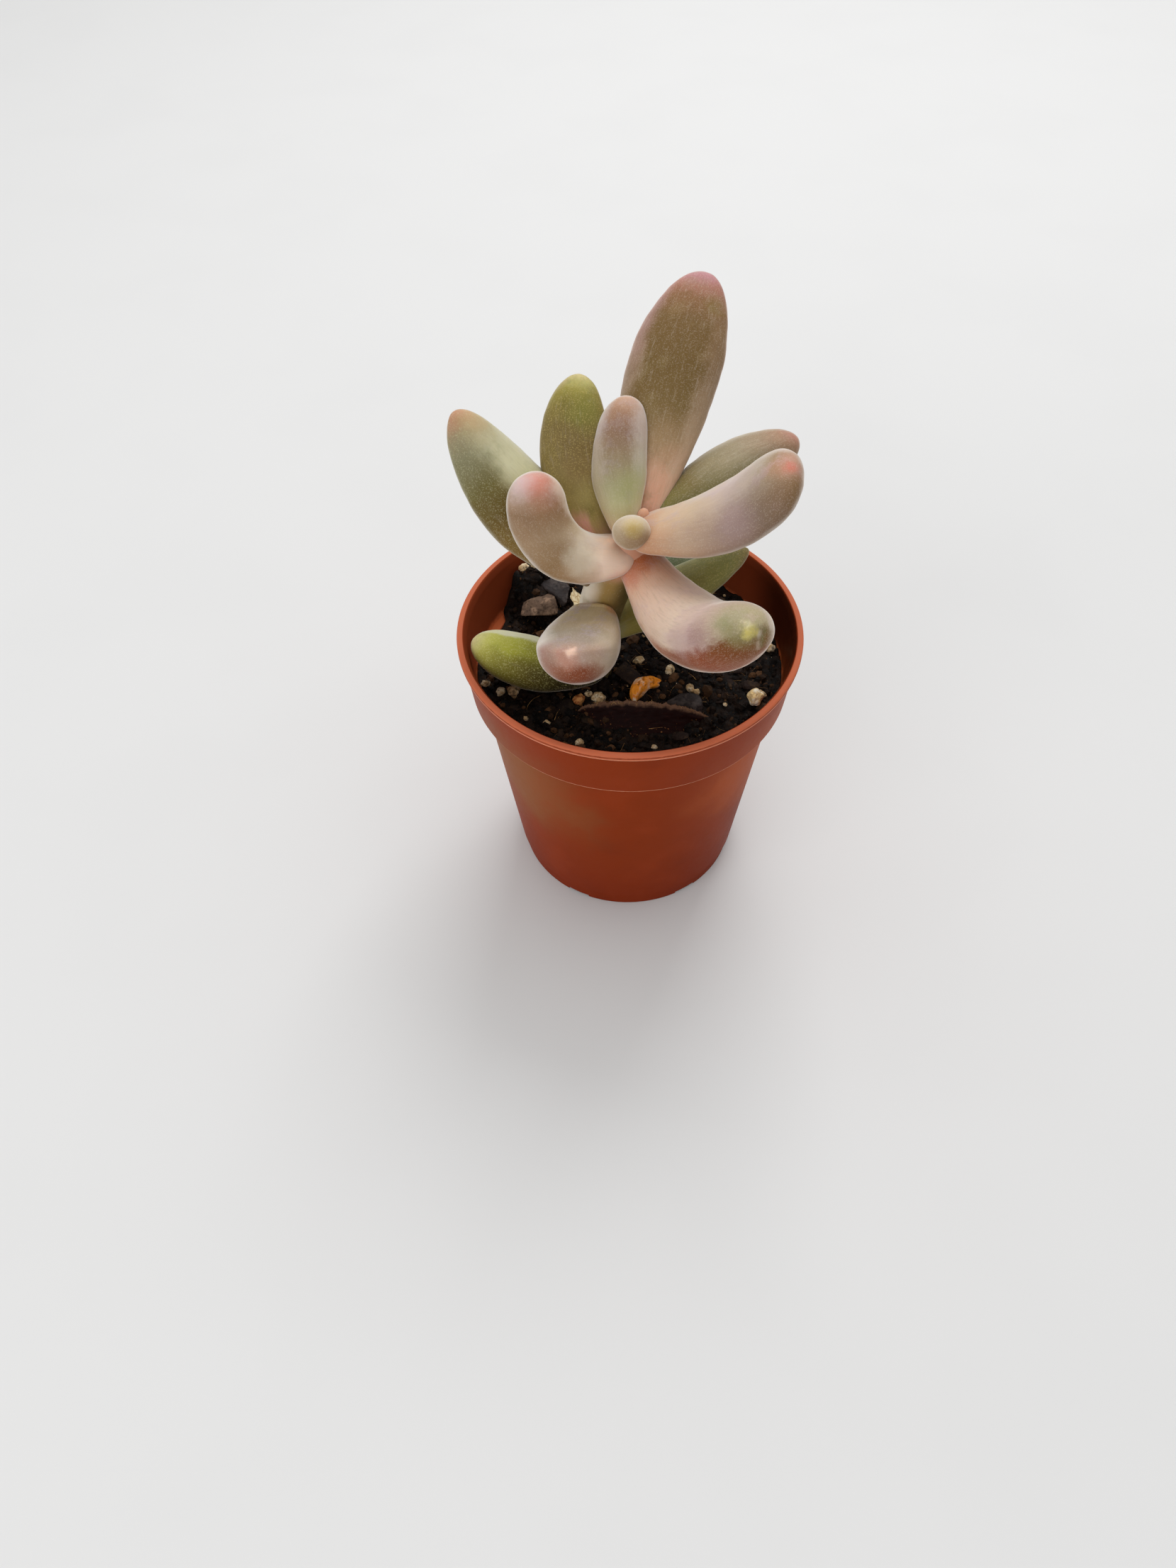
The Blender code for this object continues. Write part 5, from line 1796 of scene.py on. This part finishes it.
            far=Flank(((0.0, "C8B48E"), (0.8, "CCBCA4"), (0.93, "B89C84"), (1.0, "96684E")), 0.65, 0.35),
            turnover=(-0.75, -0.25), bloom="E2DAD2", bloom_sheen_share=0.6, rim=0.74, mottle="A898A0",
            mottle_share=0.45, streaks=0.08,
            patches=(Patch(0.13, 105, 1.6, "A88C46", 0.55), Patch(0.2, 138, 1.4, "B27038", 0.6, 0.8),
                Patch(0.88, 262, 3.4, "7C4228", 0.6, 0.5), Patch(0.92, 315, 2.6, "905E48", 0.5, 0.6),
                Patch(0.88, 225, 1.8, "84503A", 0.5, 0.6), Patch(0.998, 296, 2.1, "C0826C", 0.6),
                # this patch is a painted highlight near the tip
                Patch(0.988, 110, 0.95, "F8D4BE", 0.9, 1.3))),
        end=RootEnd(0.1, 2.4, 0.6, 0.3, 0.35), brow=(4.3, 2.0)),
    FatLeaf(
        "leaf_low_back", (-4.5, 0.5, 53.6), 43, -2, 0, 4, 21.0, 9.0, 7.2, 0.6, 0.5, 0.9, 0,
        "dark_green_leaf_skin",
        LeafSkin(
            upper=((0.0, "A0A478"), (0.3, "7E8454"), (0.6, "667050"), (1.0, "78805C")),
            lower=((0.0, "5A5E3A"), (1.0, "5C6040")), bloom="96A088", bloom_sheen_share=0.4, mottle="5C6A58",
            mottle_share=0.4, streaks=0.1)),
    FatLeaf(
        "leaf_low_right", (-6.0, -1.4, 49.7), 15, 20, 4, 3, 27.8, 8.4, 7.2, 0.53, 0.58, 0.55, 6,
        "dark_green_leaf_skin",
        LeafSkin(
            upper=((0.0, "E2E4C8"), (0.16, "D8D8B4"), (0.22, "B8B078"), (0.3, "9E904E"), (0.56, "94905E"),
                (0.75, "8C8A52"), (0.87, "868452"), (0.95, "867C4E"), (1.0, "8A7C50")),
            lower=((0.0, "8E8C58"), (0.5, "666036"), (0.85, "6A5238"), (1.0, "7E5A48")),
            near=Flank(((0.0, "C8C69C"), (0.2, "BCAE50"), (0.4, "8A803E"), (0.82, "868246"),
                (1.0, "7A7042")), 0.7, 0.1),
            bloom="A6AA92", bloom_sheen_share=0.4, mottle="64683C", mottle_share=0.35, streaks=0.1,
            flecks=Flecks.GOLDEN)),
    FatLeaf(
        "leaf_on_soil", (-5.0, -4.1, 44.6), 187, 9, -28, 8, 21.0, 9.2, 7.6, 0.52, 0.57, 1.1, 4,
        "bright_green_leaf_skin",
        LeafSkin(
            upper=((0.0, "5E6030"), (0.35, "7C7C3C"), (0.55, "989638"), (0.7, "AEAE42"), (0.86, "BCBA58"),
                (0.95, "C6BF7C"), (1.0, "D4C690")),
            lower=((0.0, "241C0C"), (0.4, "33280F"), (0.65, "4E441A"), (0.85, "7E7430"), (0.95, "B4AC58"),
                (1.0, "D0C482")),
            near=Flank(((0.0, "8E9078"), (0.5, "CCCCB4"), (0.75, "DAD8C0"), (1.0, "D0D0A4")), 0.85, 0.2,
                0.42),
            far=Flank(((0.0, "2A200C"), (0.3, "352A12"), (0.5, "5A4E1C"), (0.65, "786E28"),
                (0.78, "928C38"), (0.9, "B2AC50"), (1.0, "DCD58C")), 0.95, 0.3, 0.8),
            bloom="DCE2D0", bloom_sheen_share=0.4, rim=0.84, mottle="6E7428", streaks=0.06, flecks=Flecks.LIME)),
)


@dataclass
class DryScale:
    """The papery rest of a withered leaf on the stem's left side."""

    root: Point = (-8.15, -0.8, 58.0)     # in millimetres
    width: float = 2.3 * MM
    height: float = 5.3 * MM
    thickness: float = 0.12 * MM
    steps: int = 46
    crumpling: float = 0.34 * MM
    hang: float = 0.4 * MM     # how far its lower end hangs out
    curl: float = 0.2 * MM     # how far its sides curl

    def build(self) -> bpy.types.Object:
        """Build the scale as a crumpled tongue and show it.

        Returns:
            The piece.
        """
        bm = bmesh.new()

        def vert(over: float, down: float, side: float) -> bmesh.types.BMVert:
            """Add a point of the scale.

            Args:
                over: 0 at its front side and 1 at its back side.
                down: 0 at its root and 1 at its lower end.
                side: -0.5 on its left face and 0.5 on its right face.

            Returns:
                The point.
            """
            half = 0.5 * self.width * (1.0 - 0.45 * down) * (1.0 + 0.25 * math.sin(7.0 * down))
            half *= 1.0 + 0.16 * noise.noise(Vector((down * 9.0, 3.0, 1.0)))
            across = -1.0 + 2.0 * over
            crumple = noise.fractal(Vector((across * 1.6, down * 4.0, 2.0)), 0.7, 2.2, 4)
            bend = -0.8 * half * across - self.hang * down + self.curl * across * across
            x = bend + self.crumpling * crumple + side * self.thickness
            return bm.verts.new(Vector(self.root) * MM + Vector((x, half * across, -self.height * down)))

        skin_sheets(bm, self.steps, self.steps, vert)
        mesh = close_mesh("dry_scale_paper", bm, WitheredLeaf().material())
        return show_piece("dry_scale_paper", mesh, "straw_scale", "dry_scale")


@dataclass
class BarkFlake:
    """A bowed flake of bark that leans back in the soil at the front, its upper edge torn."""

    length: float = 21.2 * MM
    height: float = 6.4 * MM
    thickness: float = 1.2 * MM
    centre: Point = (1.6, -14.0, 42.7)     # in millimetres
    lean: float = 46.0
    turn: float = -7.0
    bow: float = 3.0 * MM
    hollow: float = 0.5 * MM
    end: float = 0.22
    columns: int = 150
    rows: int = 40
    ripples: float = 0.1 * MM
    strip_steps: int = 60

    def point(self, along: float, up: float, offset: float) -> Vector:
        """Give a point of the flake.

        Args:
            along: -1 at its left end and 1 at its right end.
            up: -1 at its lower edge and 1 at its upper edge.
            offset: distance behind its middle sheet.

        Returns:
            The point in the part's own frame.
        """
        half = 0.5 * self.height * (self.end + (1.0 - self.end) * math.sqrt(max(0.0, 1.0 - along * along)))
        torn = 0.09 * noise.fractal(Vector((along * 14.0, 5.0, 1.0)), 0.6, 2.1, 4) * eased((up - 0.2) / 0.8)
        x = along * 0.5 * self.length
        z = (up + torn) * half
        y = self.bow * along * along - self.hollow * up * up + offset
        lean = Matrix.Rotation(-math.radians(self.lean), 3, "X")
        turn = Matrix.Rotation(math.radians(self.turn), 3, "Z")
        return turn @ (lean @ Vector((x, y, z))) + Vector(self.centre) * MM

    def build(self) -> bpy.types.Object:
        """Build the flake, marked where its edge is torn, and show it.

        Returns:
            The piece.
        """
        bm = bmesh.new()
        edge = bm.verts.layers.float.new("edge")

        def vert(over: float, rise: float, side: float) -> bmesh.types.BMVert:
            """Add a point of the flake.

            Args:
                over: 0 at its left end and 1 at its right end.
                rise: 0 at its lower edge and 1 at its upper edge.
                side: -0.5 on its front face and 0.5 on its back face.

            Returns:
                The point.
            """
            along, up = -1.0 + 2.0 * over, -1.0 + 2.0 * rise
            ripple = self.ripples * noise.noise(Vector((along * 9.0, up * 5.0, side * 8.0)))
            thin = 1.0 - 0.55 * eased((abs(up) - 0.55) / 0.45)
            made = bm.verts.new(self.point(along, up, side * self.thickness * thin + ripple))
            made[edge] = max(up, 0.0) ** 3 if side < 0.0 else 0.6
            return made

        skin_sheets(bm, self.columns, self.rows, vert)
        mesh = close_mesh("bark", bm, SoakedBark().material())
        return show_piece("bark_flake_torn", mesh, "dark_bark", "bark_flake")

    def torn_edge(self) -> bpy.types.Mesh:
        """Make the narrow strip along the upper edge from which fibres stand.

        Returns:
            An open sheet.
        """
        bm = bmesh.new()
        lower, upper = ([bm.verts.new(self.point(-0.97 + 1.94 * i / self.strip_steps, up, offset))
                         for i in range(self.strip_steps + 1)]
                        for up, offset in ((0.86, -0.35 * self.thickness), (1.02, 0.0)))
        for i in range(self.strip_steps):
            bm.faces.new((lower[i], lower[i + 1], upper[i + 1], upper[i]))
        return plain_mesh("torn_edge", bm)


class Lamp(Enum):
    """A soft lamp: its place, size in metres and power in watts."""

    BACK = ((0.14, 0.46, 0.66), 0.4, 2.5)
    LOW_FILL = ((-0.40, -0.5, 0.30), 0.6, 1.7)


@dataclass
class Studio:
    """The floor, the light and the camera."""

    floor_size: float = 3.0
    camera_place: Point = (-7.190, -140.670, 182.415)     # in millimetres
    elevation: float = 50.69
    roll: float = -1.35
    focal_pixels: float = 1700.0
    frame_height: float = 2212.0     # in pixels
    sensor: float = 36.0             # in millimetres
    nearest: float = 0.01            # the camera sees nothing nearer
    brightest: Point = (0.10, 0.62, 0.78)     # the direction of the sky's brightest part
    dim_sky: Colour = (0.40, 0.40, 0.40, 1.0)
    bright_sky: Colour = (0.86, 0.86, 0.85, 1.0)
    aim: Point = (0.0, 0.0, 0.05)             # where the lamps point

    def build_floor(self) -> None:
        """Lay a plain painted board."""
        bm = bmesh.new()
        bmesh.ops.create_grid(bm, x_segments=1, y_segments=1, size=0.5 * self.floor_size)
        mesh = plain_mesh("floor", bm)
        mesh.materials.append(PaintedBoard().material())
        floor = bpy.data.objects.new("floor", mesh)
        bpy.context.scene.collection.objects.link(floor)

    def build_camera(self) -> None:
        """Place the camera at the photograph's viewing angle."""
        tilt = math.radians(self.elevation)
        back = Vector((0.0, -math.cos(tilt), math.sin(tilt)))
        right = Vector((1.0, 0.0, 0.0))
        up = back.cross(right)
        turn = math.radians(self.roll)
        across = right * math.cos(turn) + up * math.sin(turn)
        above = up * math.cos(turn) - right * math.sin(turn)
        data = bpy.data.cameras.new("camera")
        data.sensor_width = self.sensor
        data.lens = self.sensor * self.focal_pixels / self.frame_height
        data.clip_start = self.nearest
        camera = bpy.data.objects.new("camera", data)
        facing = Matrix((across, above, back)).transposed()
        camera.matrix_world = Matrix.Translation(Vector(self.camera_place) * MM) @ facing.to_4x4()
        bpy.context.scene.collection.objects.link(camera)
        bpy.context.scene.camera = camera

    def build_light(self) -> None:
        """Light the scene softly, most of it from above."""
        world = bpy.data.worlds.new("soft_studio")
        world.use_nodes = True
        tree = world.node_tree
        ray = add_node(tree, "ShaderNodeTexCoord", out="Generated")
        towards = add_node(tree, "ShaderNodeVectorMath", {0: ray, 1: self.brightest}, "Value",
                           operation="DOT_PRODUCT")
        sky = lay_over(tree, self.dim_sky, self.bright_sky, towards, 0.0, 1.0)
        feed(tree, tree.nodes["Background"], {"Color": sky})
        bpy.context.scene.world = world
        for kind in Lamp:
            place, size, power = kind.value
            data = bpy.data.lights.new(kind.name.lower(), "AREA")
            data.size = size
            data.energy = power
            lamp = bpy.data.objects.new(data.name, data)
            lamp.location = place
            lamp.rotation_euler = (Vector(place) - Vector(self.aim)).to_track_quat("Z", "Y").to_euler()
            bpy.context.scene.collection.objects.link(lamp)
        bpy.context.scene.view_settings.view_transform = "Standard"


def build_grains(soil: PottingSoil, name: str, grains: tuple[Point, ...], mineral: Mineral,
                 slot: str) -> bpy.types.Object:
    """Bed single grains in the soil.

    Args:
        soil: the soil.
        name: the piece's name.
        grains: each grain's x, y and radius, in millimetres.
        mineral: what they are.
        slot: their material slot in the record.

    Returns:
        The piece.
    """
    bm = bmesh.new()
    for number, (x, y, radius) in enumerate(grains):
        height = soil.height(x * MM, y * MM) / MM + 0.15 * radius
        grain = Stone(f"grain_{number}", (x, y, height), (radius, 0.8 * radius, 0.75 * radius),
                      47.0 * number, 12.0, Break.PITTED, 4)
        grain.build_into(bm)
    return show_piece(name, close_mesh(name, bm, mineral.material()), slot)


def main() -> None:
    """Build and dress the plant, its soil and its pot."""
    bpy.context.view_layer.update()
    studio = Studio()
    studio.build_floor()
    studio.build_camera()
    studio.build_light()
    pot = NurseryPot()
    pot.build()
    soil = PottingSoil(pot)
    soil.build_bed()
    crumbs, clods = DampPeat("Peat crumbs"), DampPeat("Peat clods")
    for margin, name, kind, slot, finish, form in (
            (0.9 * MM, "peat_crumbs", Strewn.PEAT_CRUMBS, "peat_soil", crumbs, (0.8,)),
            (2.0 * MM, "peat_clods", Strewn.PEAT_CLODS, "peat_soil", clods, (0.75, 0.7)),
            (2.2 * MM, "wood_chips", Strewn.WOOD_CHIPS, "dark_bark", DARK_WOOD, (0.3, 0.4)),
            (1.0 * MM, "pale_grit", Strewn.PALE_GRIT, "cream_pumice", PALE_GRIT, (0.75,))):
        StrewnPieces(name, kind, slot, finish.material(), *form).build(soil.seed_bed(margin))
    fibres = StrewnFibres("soil_fibres", Strewn.SOIL_FIBRES, "dark_bark", FIBRE.material())
    fibres.build(soil.seed_bed(2.6 * MM))
    build_grains(soil, "pale_grains", PALE_GRAINS, PALE_GRIT, "cream_pumice")
    build_grains(soil, "rusty_crumbs", RUSTY_GRAINS, RUSTY_GRIT, "orange_pumice")
    for stone, mineral, slot in STONES:
        stone.build(mineral.material(), slot)
    flake = BarkFlake()
    flake.build()
    fringe = StrewnFibres("bark_fringe", Strewn.BARK_FRINGE, "dark_bark", FIBRE.material(), 0.05)
    fringe.build(flake.torn_edge())
    Stem().build()
    DryScale().build()
    for leaf in LEAVES:
        leaf.build()


if __name__ == "__main__":
    logging.basicConfig(level=logging.INFO, format="%(name)s %(message)s")
    main()
